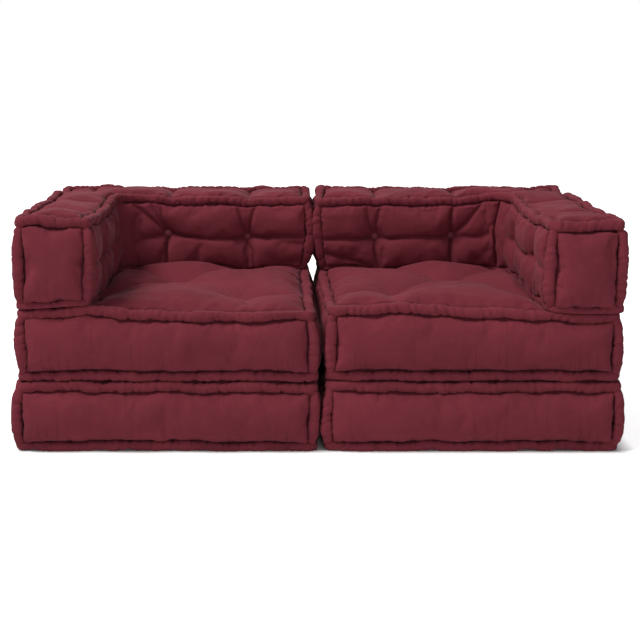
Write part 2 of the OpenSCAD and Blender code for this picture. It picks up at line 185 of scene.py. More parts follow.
armFolds = [
    ([(-0.18, 0.101), (-0.100, 0.094), (0.035, 0.101)], 0.011, 0.009),
    ([(-0.18, 0.101), (-0.250, 0.100), (-0.325, 0.096)], 0.012, 0.008),
    ([(-0.18, 0.101), (-0.200, 0.150), (-0.225, 0.190)], 0.012, 0.007),
    ([(-0.18, 0.101), (-0.165, 0.150), (-0.158, 0.190)], 0.010, 0.007),
    ([(-0.18, 0.101), (-0.190, 0.050), (-0.185, 0.012)], 0.013, 0.007),
    ([(-0.18, 0.101), (-0.235, 0.065), (-0.290, 0.030)], 0.009, 0.008),
    ([(0.035, 0.101), (0.025, 0.150), (0.030, 0.190)], 0.013, 0.007),
    ([(0.035, 0.101), (0.040, 0.050), (0.038, 0.012)], 0.014, 0.007),
    ([(0.035, 0.101), (0.085, 0.096), (0.110, 0.100)], 0.008, 0.010),
]
rearFolds = [
    ([(-0.035, 0.101), (0.070, 0.093), (0.180, 0.101)], 0.012, 0.009),
    ([(0.180, 0.101), (0.250, 0.095), (0.329, 0.098)], 0.012, 0.009),
    ([(-0.035, 0.101), (-0.150, 0.094), (-0.310, 0.100)], 0.012, 0.010),
    ([(0.180, 0.101), (0.174, 0.150), (0.170, 0.190)], 0.013, 0.007),
    ([(0.180, 0.101), (0.186, 0.050), (0.184, 0.012)], 0.013, 0.007),
    ([(-0.035, 0.101), (-0.028, 0.150), (-0.032, 0.190)], 0.013, 0.007),
    ([(-0.035, 0.101), (-0.040, 0.050), (-0.036, 0.012)], 0.013, 0.007),
]
outerFolds = [
    ([(-0.18, 0.101), (-0.070, 0.094), (0.035, 0.101)], 0.012, 0.009),
    ([(-0.18, 0.101), (-0.250, 0.096), (-0.325, 0.100)], 0.012, 0.009),
    ([(0.035, 0.101), (0.170, 0.095), (0.310, 0.100)], 0.012, 0.010),
    ([(-0.18, 0.101), (-0.184, 0.150), (-0.180, 0.190)], 0.013, 0.007),
    ([(-0.18, 0.101), (-0.175, 0.050), (-0.178, 0.012)], 0.013, 0.007),
    ([(0.035, 0.101), (0.040, 0.150), (0.036, 0.190)], 0.013, 0.007),
    ([(0.035, 0.101), (0.030, 0.050), (0.034, 0.012)], 0.013, 0.007),
]


acrossTop = {"depth": 0.013, "halfWidth": 0.008, "reach": 0.09, "lean": 0.004}   # folds at each tie
armInnerShare = 0.75      # of the depth of an arm's folds, on its inner side


def stationsOf():
    # where twine draws the top of the back and of the arm together, along each
    w, d = module["halfWidth"], module["halfDepth"]
    return tufts["backX"] + [-w + module["armThick"] / 2], tufts["armY"] + [d - module["backThick"] / 2]


def foldsOf(cushion, hand):
    if cushion["kind"] == "mattress":
        return {}
    soft = [(points, armInnerShare * deep, width) for points, deep, width in armFolds]
    w, d = module["halfWidth"], module["halfDepth"]
    reach, lean = acrossTop["reach"], acrossTop["lean"]
    alongBack, alongArm = stationsOf()
    lines = [[(x, edge), (x + lean, d - reach)] for x in alongBack for edge in (backFace, d)]
    lines += [[(edge, y), (-w + reach, y + lean)] for y in alongArm for edge in (armFace, -w)]
    across = [(points, acrossTop["depth"], acrossTop["halfWidth"]) for points in lines]
    return {"outer": outerFolds, "rear": rearFolds, "armInner": soft, "backInner": backFolds[hand],
            "top": across}


def spaced(stops, pitch):
    # lines about one pitch apart that pass through every stop
    lines = [stops[0]]
    for a, b in zip(stops, stops[1:]):
        count = max(1, round((b - a) / pitch))
        lines += [a + (b - a) * i / count for i in range(1, count + 1)]
    return np.array(lines)


def shell(xs, ys, zs, notch=None):
    # the outer faces of a block of cells, as places and quads; notch leaves an L
    counts = (len(xs) - 1, len(ys) - 1, len(zs) - 1)
    filled = np.zeros([n + 2 for n in counts], bool)
    filled[1:-1, 1:-1, 1:-1] = True
    if notch:
        filled[1 + notch[0]:, :1 + notch[1], :] = False
    steps = np.eye(3, dtype=int)
    quads = []
    for axis in range(3):
        for up in (0, 1):
            beyond = np.roll(filled, -1 if up else 1, axis)
            cells = np.argwhere(filled & ~beyond) - 1 + up * steps[axis]
            u, v = steps[(axis + 1) % 3], steps[(axis + 2) % 3]
            ring = [cells, cells + u, cells + u + v, cells + v]
            if not up:
                ring.reverse()
            keys = [(c[:, 0] * len(ys) + c[:, 1]) * len(zs) + c[:, 2] for c in ring]
            quads.append(np.stack(keys, 1))
    quads = np.concatenate(quads)
    used, quads = np.unique(quads, return_inverse=True)
    quads = quads.reshape(-1, 4)
    i, rest = np.divmod(used, len(ys) * len(zs))
    j, k = np.divmod(rest, len(zs))
    return np.stack([xs[i], ys[j], zs[k]], 1), quads


def nearLine(places, points):
    # distance to a line of points, and how far along it the nearest point is, from 0 to 1
    points = np.array(points, float)
    steps = np.diff(points, axis=0)
    lengths = np.linalg.norm(steps, axis=1)
    total = lengths.sum()
    best = np.full(len(places), 9.0)
    along = np.zeros(len(places))
    done = 0.0
    for start, step, length in zip(points, steps, lengths):
        t = np.clip(((places - start) @ step) / length ** 2, 0, 1)
        gap = np.linalg.norm(places - start - t[:, None] * step, axis=1)
        closer = gap < best
        best[closer] = gap[closer]
        along[closer] = (done + t[closer] * length) / total
        done += length
    return best, along


def foldDepth(places, folds, narrow=1.0, fade=0.55):
    depth = np.zeros(len(places))
    for points, deep, width in folds:
        gap, along = nearLine(places, points)
        line = deep * (1 - fade * along) * np.exp(-(gap / (width * narrow)) ** 1.25)
        depth = np.maximum(depth, line)
    return depth


dragShape = {"fromBelow": 0.72, "lean": 0.25, "halfWidth": (0.003, 0.006), "clear": 0.02}


def dragLines(cushion, hand, name, ends, z0, z1):
    # short folds that run up and down from the seams of an upright face
    drag, lean, clear = cushion["drags"], dragShape["lean"], dragShape["clear"]
    draw = np.random.default_rng(cushion["seed"] * 31 + hands[hand]["seed"] + len(name))
    lines = []
    for i in range(drag["count"]):
        u = draw.uniform(ends[0] + clear, ends[1] - clear)
        length = draw.uniform(*drag["reach"])
        low = draw.random() < dragShape["fromBelow"]
        start, way = (z0, 1) if low else (z1, -1)
        end = u + draw.uniform(-lean, lean) * length
        deep = drag["depth"] * draw.uniform(0.5, 1.0)
        lines.append(([(u, start), (end, start + way * length)], deep,
                      draw.uniform(*dragShape["halfWidth"])))
    return lines


def beside(places, x, y, reach):
    # 1 at a spot seen from above, and fading to 0 round it
    return np.exp(-((places[:, 0] - x) ** 2 + (places[:, 1] - y) ** 2) / reach ** 2)


def tuftBell(places, spots, radius):
    bell = np.zeros(len(places))
    for spot in spots:
        gap = np.linalg.norm(places - np.array(spot), axis=1)
        bell = np.maximum(bell, np.exp(-(gap / radius) ** 1.5))
    return bell


cushions = {
    "base": {
        "kind": "mattress",
        "tuftDepth": 0.015, "tuftRadius": 0.055,
        "swell": 0.008, "gapSwell": 0.003, "crown": 0.0,
        "drawnIn": 0.005, "bow": 0.003, "pressure": 4.0, "slack": 0.020, "cap": 0.011,
        "pressed": 0.003, "seed": 3,
        "drags": {"count": 20, "reach": (0.03, 0.10), "depth": 0.0013},
    },
    "seat": {
        "kind": "mattress",
        "tuftDepth": 0.015, "tuftRadius": 0.060,
        "swell": 0.007, "gapSwell": 0.003, "crown": 0.016,
        "drawnIn": 0.005, "bow": 0.003, "pressure": 4.0, "slack": 0.020, "cap": 0.011,
        "pressed": 0.004, "seed": 5,
        "drags": {"count": 12, "reach": (0.02, 0.05), "depth": 0.0009},
    },
    "back": {
        "kind": "corner",
        "tuftDepth": 0.020, "tuftRadius": 0.030,
        "swell": 0.007, "gapSwell": 0.002, "crown": 0.006,
        "drawnIn": 0.005, "bow": 0.005, "pressure": 4.0, "slack": 0.04, "cap": 0.011,
        "pressed": 0.011, "seed": 7,
        "drags": {"count": 5, "reach": (0.02, 0.05), "depth": 0.0012},
    },
}
for kind, cushion in cushions.items():
    cushion["level"], cushion["height"] = levelOf(kind)
    cushion["name"] = kind


def cornersOf(cushion):
    # each outer corner of a cushion seen from above, with the way that points out of it
    x, y = module["halfWidth"], module["halfDepth"]
    if cushion["kind"] == "mattress":
        return [(-x, -y, -1, -1), (x, -y, 1, -1), (x, y, 1, 1), (-x, y, -1, 1)]
    return [(-x, -y, -1, -1), (armFace, -y, 1, -1), (x, backFace, 1, -1),
            (x, y, 1, 1), (-x, y, -1, 1)]


# How far the cloth and its rolls wander from straight lines, up and down only near the seams.
wander = {
    "coarse": {"size": 0.13, "sizeZ": 0.12, "x": 0.0013, "y": 0.0010, "z": 0.0017},
    "fine": {"size": 0.055, "x": 0.0006, "z": 0.0008},
    "seamBand": 0.045,
}

# How a cushion gives way at its corners and ties, where it stands on another, and where it sinks in.
# Each has its reach, and how far it moves.
give = {
    "corner": 0.085,
    "pinch": {"reach": 0.022, "in": 0.003, "down": 0.0055},
    "tuft": 0.06,
    "tuck": {"reach": 0.03, "up": 0.035, "in": 0.002, "down": 0.006},
    "topCorner": {"reach": 0.038, "front": 0.009, "rear": 0.003},
    "sag": {"reach": 0.045, "depth": 0.011, "up": 0.05},
    "press": {"roll": 0.025, "fade": 0.05},
}


def settle(places, cushion, hand):
    # takes any point of a cushion to where it lies once the cushion is tied, filled and stacked
    height = cushion["height"]
    t = 2 * places[:, 2] / height - 1
    moved = places.copy()
    for cx, cy, outX, outY in cornersOf(cushion):    # drawn in at their ends and bowed out between
        near = beside(places, cx, cy, give["corner"])
        push = cushion["bow"] * (1 - t ** 2) - cushion["drawnIn"] * t ** 4
        moved[:, 0] += near * push * outX
        moved[:, 1] += near * push * outY
    own = hands[hand]["outward"][cushion["name"]]    # each side stands out by its own measures
    for side, way in (("arm", -1), ("gap", 1)):
        low, middle, high = own[side]
        out = middle + (high - low) / 2 * t + ((high + low) / 2 - middle) * t ** 2
        moved[:, 0] += way * out * np.clip(way * places[:, 0] / module["halfWidth"], 0, 1) ** 2
    moved[:, 1] -= own["front"] * np.clip(-places[:, 1] / module["halfDepth"], 0, 1) ** 2
    seed = cushion["seed"] + hands[hand]["seed"]
    coarse, fine = wander["coarse"], wander["fine"]
    moved[:, 0] += (coarse["x"] * waves(places, coarse["size"], seed)
                    + fine["x"] * waves(places, fine["size"], seed + 300))
    moved[:, 1] += coarse["y"] * waves(places, coarse["size"], seed + 100)
    seamBand = np.exp(-(np.minimum(places[:, 2], height - places[:, 2]) / wander["seamBand"]) ** 2)
    moved[:, 2] += seamBand * (coarse["z"] * waves(places, coarse["sizeZ"], seed + 200)
                               + fine["z"] * waves(places, fine["size"], seed + 400))
    pinch = give["pinch"]      # ties draw the rolls beside them in and down
    for px, py, outX, outY in pinchesOf(cushion):
        near = beside(places, px, py, pinch["reach"]) * smooth((t - 0.35) / 0.6)
        moved[:, 0] -= pinch["in"] * near * outX
        moved[:, 1] -= pinch["in"] * near * outY
        moved[:, 2] -= pinch["down"] * near
    moved[:, 2] += pressed(places, cushion)
    if cushion["kind"] == "corner":
        for x, shiftX, shiftZ in hands[hand]["tuftShifts"]:
            near = beside(places[:, [0, 2]], x, height / 2, give["tuft"])
            near *= 1 - smooth((places[:, 1] - backFace - 0.03) / 0.06)
            moved[:, 0] += near * shiftX
            moved[:, 2] += near * shiftZ
        tuck = give["tuck"]    # the foot of the back's inner face hides behind the seat's swell
        tucked = np.exp(-((places[:, 1] - backFace) / tuck["reach"]) ** 2)
        tucked = tucked * np.exp(-(places[:, 2] / tuck["up"]) ** 2)
        tucked *= smooth((places[:, 0] - armFace) / 0.05)
        moved[:, 1] += tuck["in"] * tucked
        moved[:, 2] -= tuck["down"] * tucked
        moved[:, 2] += risenTop(places, cushion, hand)
        for cx, cy, outX, outY in cornersOf(cushion):
            near = beside(places, cx, cy, give["topCorner"]["reach"])
            down = give["topCorner"]["front" if cy < 0 else "rear"]
            moved[:, 2] -= down * near * np.clip(places[:, 2] / height, 0, 1) ** 3
        moved[:, 2] -= sagging(places) * np.exp(-(places[:, 2] / give["sag"]["up"]) ** 2)
    moved[:, 2] += rolling(moved, cushion["level"], hand)
    return moved


# Where the top of the back and arm rises: how far in it starts and over what width it goes up.
risen = {"arm": (0.055, 0.09), "rear": (0.085, 0.075), "frontReach": 0.13, "armEnd": 0.12,
         "innerCorner": (0.02, 0.11)}


def risenTop(places, cushion, hand):
    # the back and arm stand a little higher along their outer edges and at the arm's front end
    own = hands[hand]
    arm = smooth((armFace - places[:, 0] - risen["arm"][0]) / risen["arm"][1])
    front = np.exp(-((places[:, 1] + module["halfDepth"]) / risen["frontReach"]) ** 2)
    before = 1 - smooth((places[:, 1] - backFace) / risen["armEnd"])
    rise = own["rearUp"] * smooth((places[:, 1] - backFace - risen["rear"][0]) / risen["rear"][1])
    rise += own["armOuterUp"] * arm * before
    rise += own["armFrontUp"] * front * (places[:, 0] < armFace + 0.01)
    inset, reach = risen["innerCorner"]
    corner = (places[:, 0] - armFace - inset) ** 2 + (places[:, 1] - backFace + inset) ** 2
    rise += own["innerCornerUp"] * np.exp(-corner / reach ** 2)
    return rise * np.clip(places[:, 2] / cushion["height"], 0, 1) ** 2


def sagging(places):
    # how far the back and arm sink into the hollows of the seat's tufts at their feet
    return give["sag"]["depth"] * tuftBell(places[:, :2], tufts["mattress"][1:], give["sag"]["reach"])


def pinchesOf(cushion):
    # where the twine of a tuft draws in the rolls beside it, with the way out of the cushion
    if cushion["kind"] == "mattress":
        return []
    w, d = module["halfWidth"], module["halfDepth"]
    acrossBack, acrossArm = stationsOf()
    inner = [(x, backFace, 0, -1) for x in tufts["backX"]] + [(armFace, y, 1, 0) for y in tufts["armY"]]
    return inner + [(x, d, 0, 1) for x in acrossBack] + [(-w, y, -1, 0) for y in acrossArm]


def pressed(places, cushion):
    # the weight of the back and arm flattens the rolls that they stand on, and their own
    away = places[:, 2] if cushion["name"] != "seat" else cushion["height"] - places[:, 2]
    thick = give["press"]["roll"]
    share = np.minimum(away / thick, np.exp(-(away - thick) / give["press"]["fade"]))
    if cushion["name"] != "seat":
        return -cushion["pressed"] * share
    under = np.maximum(smooth((armFace + 0.01 - places[:, 0]) / 0.03),
                       smooth((places[:, 1] - backFace + 0.01) / 0.03))
    return cushion["pressed"] * under * share


# How far a stack rolls up and down over how much of its width, less on the way up, clear of the floor.
stack = {"rise": 0.0012, "size": 0.22, "upright": 0.35, "above": 0.06}


def rolling(places, level, hand):
    # the whole stack rolls up and down together, so that its cushions still lie on each other
    spot = places * [1, 1, stack["upright"]] + [0, 0, stack["upright"] * level]
    clear = smooth((places[:, 2] + level) / stack["above"])
    lift = stack["rise"] * clear * waves(spot, stack["size"], 900 + hands[hand]["seed"])
    seatLevel, seatHeight = cushions["seat"]["level"], cushions["seat"]["height"]
    share = smooth((places[:, 2] + level - seatLevel) / seatHeight)
    for x, y, reach, rise in hands[hand]["lifts"]:
        lift += rise * share * beside(places, x, y, reach)
    return lift


def seamLevels(cushion):
    return module["seamInset"], cushion["height"] - module["seamInset"]


def facesOf(cushion):
    # faces by name: axis, way, plane, region, seam distance
    (ex, ey), (nx, ny), (z0, z1) = outerSeams, innerSeams, seamLevels(cushion)
    corner = cushion["kind"] == "corner"

    def ends(v, a, b):
        return np.minimum(v - a, b - v)

    def upright(along, a, b):
        return lambda p: np.minimum(ends(p[:, along], a, b), ends(p[:, 2], z0, z1))

    faces = {
        "outer": (0, -1, -ex, None, upright(1, -ey, ey)),
        "rear": (1, 1, ey, None, upright(0, -ex, ex)),
    }
    if not corner:
        def flat(p):
            return np.minimum(ends(p[:, 0], -ex, ex), ends(p[:, 1], -ey, ey))
        faces["gapSide"] = (0, 1, ex, None, upright(1, -ey, ey))
        faces["front"] = (1, -1, -ey, None, upright(0, -ex, ex))
    else:
        def flat(p):
            out = np.hypot(np.maximum(nx - p[:, 0], 0), np.maximum(p[:, 1] - ny, 0))
            return np.minimum(out, np.minimum(ends(p[:, 0], -ex, ex), ends(p[:, 1], -ey, ey)))
        faces["gapSide"] = (0, 1, ex, None, upright(1, ny, ey))
        faces["front"] = (1, -1, -ey, None, upright(0, -ex, nx))
        faces["armInner"] = (0, 1, nx, lambda p: p[:, 1] <= ny + 1e-6,
                             lambda p: np.minimum(ends(p[:, 2], z0, z1), p[:, 1] + ey))
        faces["backInner"] = (1, -1, ny, lambda p: p[:, 0] >= nx - 1e-6,
                              lambda p: np.minimum(ends(p[:, 2], z0, z1), ex - p[:, 0]))
    faces["under"] = (2, -1, z0, None, flat)
    faces["top"] = (2, 1, z1, None, flat)
    return faces


def eachFace(places, cushion):
    # each face's name, axis and way out, which places lie on it, and how far they are from its seams
    for name, (axis, way, plane, region, seamDistance) in facesOf(cushion).items():
        there = np.abs(places[:, axis] - plane) < 1e-6
        if region:
            there &= region(places)
        yield name, axis, way, there, np.maximum(seamDistance(places[there]), 0)


# How the cloth rises from a seam, how the seat's bare top swells beside the back and arm, and how
# the top of the back and arm falls to its outer edges and is pinched at its ties.
seamRise = {"reach": 0.0068, "power": 3.2}
bareTop = {"besideArm": 0.022, "besideBack": 0.016, "from": 0.002, "slow": (0.6, 0.10),
           "quick": (0.4, 0.03), "against": (0.005, 0.09), "deeper": 0.8}
backTop = {"reach": 0.07, "outerFall": (0.010, 0.045), "pinch": (0.017, 0.020)}


def faceOut(name, places, distance, cushion, hand):
    # how far the cloth stands out from the plane of its seam lines
    inset = module["seamInset"]
    out = inset * (1 - (1 - np.clip(distance / seamRise["reach"], 0, 1)) ** seamRise["power"])
    height = cushion["height"]
    hump = 1 - (1 - np.clip(distance / (height / 2 - inset), 0, 1)) ** 2
    flat = places[:, :2]
    if name in ("top", "under") and cushion["kind"] == "mattress":
        shape = out.copy()
        bare = 0
        if name == "top" and cushion["crown"]:
            besideArm = smooth((places[:, 0] - armFace - bareTop["from"]) / bareTop["besideArm"])
            besideBack = smooth((backFace - bareTop["from"] - places[:, 1]) / bareTop["besideBack"])
            bare = besideArm * besideBack
            (slow, slowReach), (quick, quickReach) = bareTop["slow"], bareTop["quick"]
            swollen = slow * smooth(distance / slowReach) + quick * smooth(distance / quickReach)
            more, reach = bareTop["against"]
            against = more * np.exp(-((backFace - places[:, 1]) / reach) ** 2)
            shape += (cushion["crown"] + against) * besideArm * besideBack * swollen
        dips = foldDepth(flat, valleys, 1.0, 0.45) * smooth(distance / 0.03)
        shape -= dips * (1 + bareTop["deeper"] * bare)
        bell = tuftBell(flat, tufts["mattress"], cushion["tuftRadius"])
        return shape * (1 - bell) + (inset - cushion["tuftDepth"]) * bell
    if cushion["kind"] == "mattress" or name in ("gapSide", "front"):
        return out + cushion["gapSwell" if name == "gapSide" else "swell"] * hump
    if name == "under":
        return out
    if name == "top":
        pinch = np.zeros(len(places))
        onBack, onArm = places[:, 1] > backFace, places[:, 0] < armFace
        alongBack, alongArm = stationsOf()
        for axis, there, stations in ((0, onBack, alongBack), (1, onArm, alongArm)):
            for station in stations:
                near = np.exp(-(np.abs(places[:, axis] - station) / backTop["pinch"][1]) ** 1.2)
                pinch = np.maximum(pinch, there * near)
        wide = 1 - (1 - np.clip(distance / backTop["reach"], 0, 1)) ** 2
        outer = np.minimum(places[:, 0] + outerSeams[0], outerSeams[1] - places[:, 1])
        lower = backTop["outerFall"][0] * np.exp(-(outer / backTop["outerFall"][1]) ** 2)
        drawn = backTop["pinch"][0] * pinch * np.clip(distance / 0.02, 0, 1)
        return out + cushion["crown"] * wide - lower - drawn
    along, spots = tuftsOn(name, cushion)
    spot = places[:, [along, 2]]
    bell = tuftBell(spot, spots, cushion["tuftRadius"])
    folded = foldDepth(spot, foldsOf(cushion, hand)[name]) * smooth(distance / 0.012)
    shape = out + cushion["swell"] * hump - folded
    return shape * (1 - bell) + (inset - cushion["tuftDepth"]) * bell


def tuftsOn(name, cushion):
    # the way that an upright face of the back and arm runs, and its tufts along it and up
    along = 1 if name in ("outer", "armInner") else 0
    return along, [(place, cushion["height"] / 2) for place in (tufts["armY"] if along else tufts["backX"])]


def coverLattice(cushion):
    (ex, ey), (nx, ny), (z0, z1) = outerSeams, innerSeams, seamLevels(cushion)
    pitch = module["pitch"][cushion["kind"]]
    edge = module["seamRows"]
    zs = spaced([z0] + [z0 + d for d in edge[:2]] + [cushion["height"] / 2]
                + [z1 - d for d in edge[1::-1]] + [z1], pitch)
    if cushion["kind"] == "mattress":
        xs, ys = [spaced([-e] + [-e + d for d in edge] + tufts["rows"]
                         + [e - d for d in reversed(edge)] + [e], pitch) for e in (ex, ey)]
        return shell(xs, ys, zs)
    xs = spaced([-ex] + [-ex + d for d in edge] + [nx - d for d in reversed(edge)] + [nx]
                + [tufts["backX"][1], tufts["backX"][0]] + [ex - d for d in reversed(edge)] + [ex], pitch)
    ys = spaced([-ey] + [-ey + d for d in edge] + tufts["armY"] + [ny] + [ny + d for d in edge]
                + [ey - d for d in reversed(edge)] + [ey], pitch)
    notch = (int(np.argmin(abs(xs - nx))), int(np.argmin(abs(ys - ny))))
    return shell(xs, ys, zs, notch)


def roundInnerCorner(places, quads):
    # takes the sharp inner corner of the L to an arc, and eases the flat faces beside it
    nx, ny = innerSeams
    bend = module["innerBend"]
    moved = places.copy()
    onArm = (abs(places[:, 0] - nx) < 1e-6) & (places[:, 1] <= ny + 1e-6)
    onBack = (abs(places[:, 1] - ny) < 1e-6) & (places[:, 0] >= nx - 1e-6)
    run = np.where(onBack, places[:, 0] - nx, places[:, 1] - ny)
    arc = (onArm | onBack) & (np.abs(run) < bend)
    angle = np.radians(135 - 45 * run[arc] / bend)
    moved[arc, 0] = nx + bend + bend * np.cos(angle)
    moved[arc, 1] = ny - bend + bend * np.sin(angle)
    fixed = onArm | onBack
    free = ~fixed & (np.hypot(places[:, 0] - nx, places[:, 1] - ny) < module["ease"]["reach"])
    edges = np.concatenate([quads[:, [0, 1]], quads[:, [1, 2]], quads[:, [2, 3]], quads[:, [3, 0]]])
    edges = np.concatenate([edges, edges[:, ::-1]])
    edges = edges[free[edges[:, 0]]]
    count = np.bincount(edges[:, 0], minlength=len(places))
    for i in range(module["ease"]["steps"]):
        for axis in (0, 1):
            total = np.bincount(edges[:, 0], moved[edges[:, 1], axis], len(places))
            moved[free, axis] = total[free] / count[free]
    return moved


def coverShape(places, eased, cushion, hand):
    # the cover's own form: each face stands out from the lattice by its own rule
    shape = eased.copy()
    nx, ny = innerSeams
    bend = module["innerBend"]
    for name, axis, way, there, distance in eachFace(places, cushion):
        out = faceOut(name, places[there], distance, cushion, hand)
        normal = np.zeros((there.sum(), 3))
        normal[:, axis] = way
        if name in ("armInner", "backInner"):
            run = places[there, 0] - nx if name == "backInner" else places[there, 1] - ny
            turn = np.abs(run) < bend
            angle = np.radians(135 - 45 * run[turn] / bend)
            normal[turn, 0], normal[turn, 1] = -np.cos(angle), -np.sin(angle)
            atCorner = np.abs(run) < 1e-6
            out = np.where(atCorner, out / 2, out)   # this line is on both inner faces
        shape[there] += normal * out[:, None]
    return shape


def addObject(name, data):
    obj = bpy.data.objects.new(name, data)
    scene.collection.objects.link(obj)
    return obj


def applyModifiers(obj):
    # the shape that the modifiers make becomes the object's own mesh
    graph = bpy.context.evaluated_depsgraph_get()
    mesh = bpy.data.meshes.new_from_object(obj.evaluated_get(graph))
    obj.modifiers.clear()
    old, obj.data = obj.data, mesh
    bpy.data.meshes.remove(old)
    return mesh


def smoothCloth(obj):
    smoother = obj.modifiers.new("smoother", "SUBSURF")
    smoother.levels = smoother.render_levels = 1
    return applyModifiers(obj)


def pieceName(hand, cushion, what):
    return hand + cushion["name"].capitalize() + what


def makeMesh(name, places, quads, flip):
    mesh = bpy.data.meshes.new(name)
    order = quads[:, ::-1] if flip else quads
    mesh.from_pydata(places.tolist(), [], order.tolist())
    mesh.polygons.foreach_set("use_smooth", np.ones(len(order), bool))
    mesh.update()
    return addObject(name, mesh)


def readPlaces(mesh):
    co = np.empty(len(mesh.vertices) * 3, np.float32)
    mesh.vertices.foreach_get("co", co)
    return co.reshape(-1, 3).astype(float)


def writePlaces(mesh, places):
    mesh.vertices.foreach_set("co", places.astype(np.float32).ravel())
    mesh.update()


def toGlobal(places, level, hand):
    side = hands[hand]["side"]
    return places * [side, 1, 1] + [-side * module["middle"], 0, level]


def toModule(places, level, hand):
    side = hands[hand]["side"]
    return (places - [-side * module["middle"], 0, level]) * [side, 1, 1]


def setVectors(mesh, name, values):
    layer = mesh.attributes.new(name, "FLOAT_VECTOR", "POINT")
    layer.data.foreach_set("vector", values.astype(np.float32).ravel())


def getVectors(mesh, name):
    values = np.empty(len(mesh.vertices) * 3, np.float32)
    mesh.attributes[name].data.foreach_get("vector", values)
    return values.reshape(-1, 3).astype(float)


# How near a tuft or a fold the cloth is held, and how firmly a fold holds it from end to end.
pins = {"tuftReach": 0.011, "foldReach": 0.0045, "fold": 0.62, "foldFade": 0.25}


def pinWeights(places, cushion, hand):
    # seams and tufts hold fast, folds hold a little, and the filling holds the rest loosely
    weights = np.full(len(places), 0.0)
    for name, axis, way, there, distance in eachFace(places, cushion):
        hold = np.where(distance < 1e-6, 1.0, 0.0)
        spot = None
        if cushion["kind"] == "mattress" and name in ("top", "under"):
            spot, spots, folds = places[there, :2], tufts["mattress"], []
        elif name in ("outer", "armInner", "rear", "backInner") and cushion["kind"] == "corner":
            along, spots = tuftsOn(name, cushion)
            spot, folds = places[there][:, [along, 2]], foldsOf(cushion, hand)[name]
        if spot is not None:
            for s in spots:
                gap = np.linalg.norm(spot - np.array(s), axis=1)
                hold = np.maximum(hold, (gap < pins["tuftReach"]) * 1.0)
            for points, deep, width in folds:
                gap, far = nearLine(spot, points)
                firm = pins["fold"] - pins["foldFade"] * far
                hold = np.maximum(hold, (gap < pins["foldReach"]) * firm)
        weights[there] = np.maximum(weights[there], hold)
    return weights


def makeCover(hand, cushion):
    places, quads = coverLattice(cushion)
    eased = roundInnerCorner(places, quads) if cushion["kind"] == "corner" else places
    shape = coverShape(places, eased, cushion, hand)
    shape = settle(shape, cushion, hand)
    obj = makeMesh(pieceName(hand, cushion, "Cover"), toGlobal(shape, cushion["level"], hand), quads,
                   hands[hand]["side"] < 0)
    setVectors(obj.data, "flat", places)
    weights = pinWeights(places, cushion, hand)
    group = obj.vertex_groups.new(name="pin")
    for level in np.unique(np.round(weights, 2)):
        if level > 0:
            group.add(np.where(np.round(weights, 2) == level)[0].tolist(), float(level), "REPLACE")
    return obj


# The cotton of the covers while they are filled.
sewnCloth = {"quality": 6, "mass": 0.25, "stretch": 12, "shear": 4, "bending": 0.25, "damping": 2.0,
             "frames": 20, "topShare": 0.4}      # the top of the back and arm swells less


def inflate(covers):
    # all covers swell at the same time under the pressure of their filling
    frames = sewnCloth["frames"]
    for obj, cushion, hand in covers:
        cloth = obj.modifiers.new("cloth", "CLOTH")
        s = cloth.settings
        s.quality = sewnCloth["quality"]
        s.mass = sewnCloth["mass"]
        s.air_damping = sewnCloth["damping"]
        s.tension_stiffness = s.compression_stiffness = sewnCloth["stretch"]
        s.shear_stiffness = sewnCloth["shear"]
        s.bending_stiffness = sewnCloth["bending"]
        s.use_pressure = True
        s.uniform_pressure_force = cushion["pressure"]
        s.shrink_min = -cushion["slack"]
        s.vertex_group_mass = "pin"
        s.pin_stiffness = 1.0
        s.effector_weights.gravity = 0
        cloth.point_cache.frame_start, cloth.point_cache.frame_end = 1, frames
    for step in range(1, frames + 1):
        scene.frame_set(step)
    graph = bpy.context.evaluated_depsgraph_get()
    swollen = [readPlaces(obj.evaluated_get(graph).data) for obj, cushion, hand in covers]
    for (obj, cushion, hand), places in zip(covers, swollen):
        obj.modifiers.clear()
        rest = readPlaces(obj.data)
        way = places - rest
        length = np.linalg.norm(way, axis=1, keepdims=True)
        top = getVectors(obj.data, "flat")[:, 2] > cushion["height"] - module["seamInset"] - 1e-6
        share = np.where((cushion["kind"] == "corner") & top, sewnCloth["topShare"], 1.0)
        cap = share[:, None] * cushion["cap"]
        print(obj.name, "moved", round(float(length.mean()) * 1000, 1), "mm, at most",
              round(float(length.max()) * 1000, 1))
        way *= np.tanh(length / cap) * cap / np.maximum(length, 1e-9)
        writePlaces(obj.data, rest + way)
    scene.frame_set(1)


covers = []
for hand in hands:
    for cushion in cushions.values():
        covers.append((makeCover(hand, cushion), cushion, hand))
print("covers cut and sewn:", sum(len(obj.data.vertices) for obj, c, h in covers), "points")

inflate(covers)
print("covers filled")


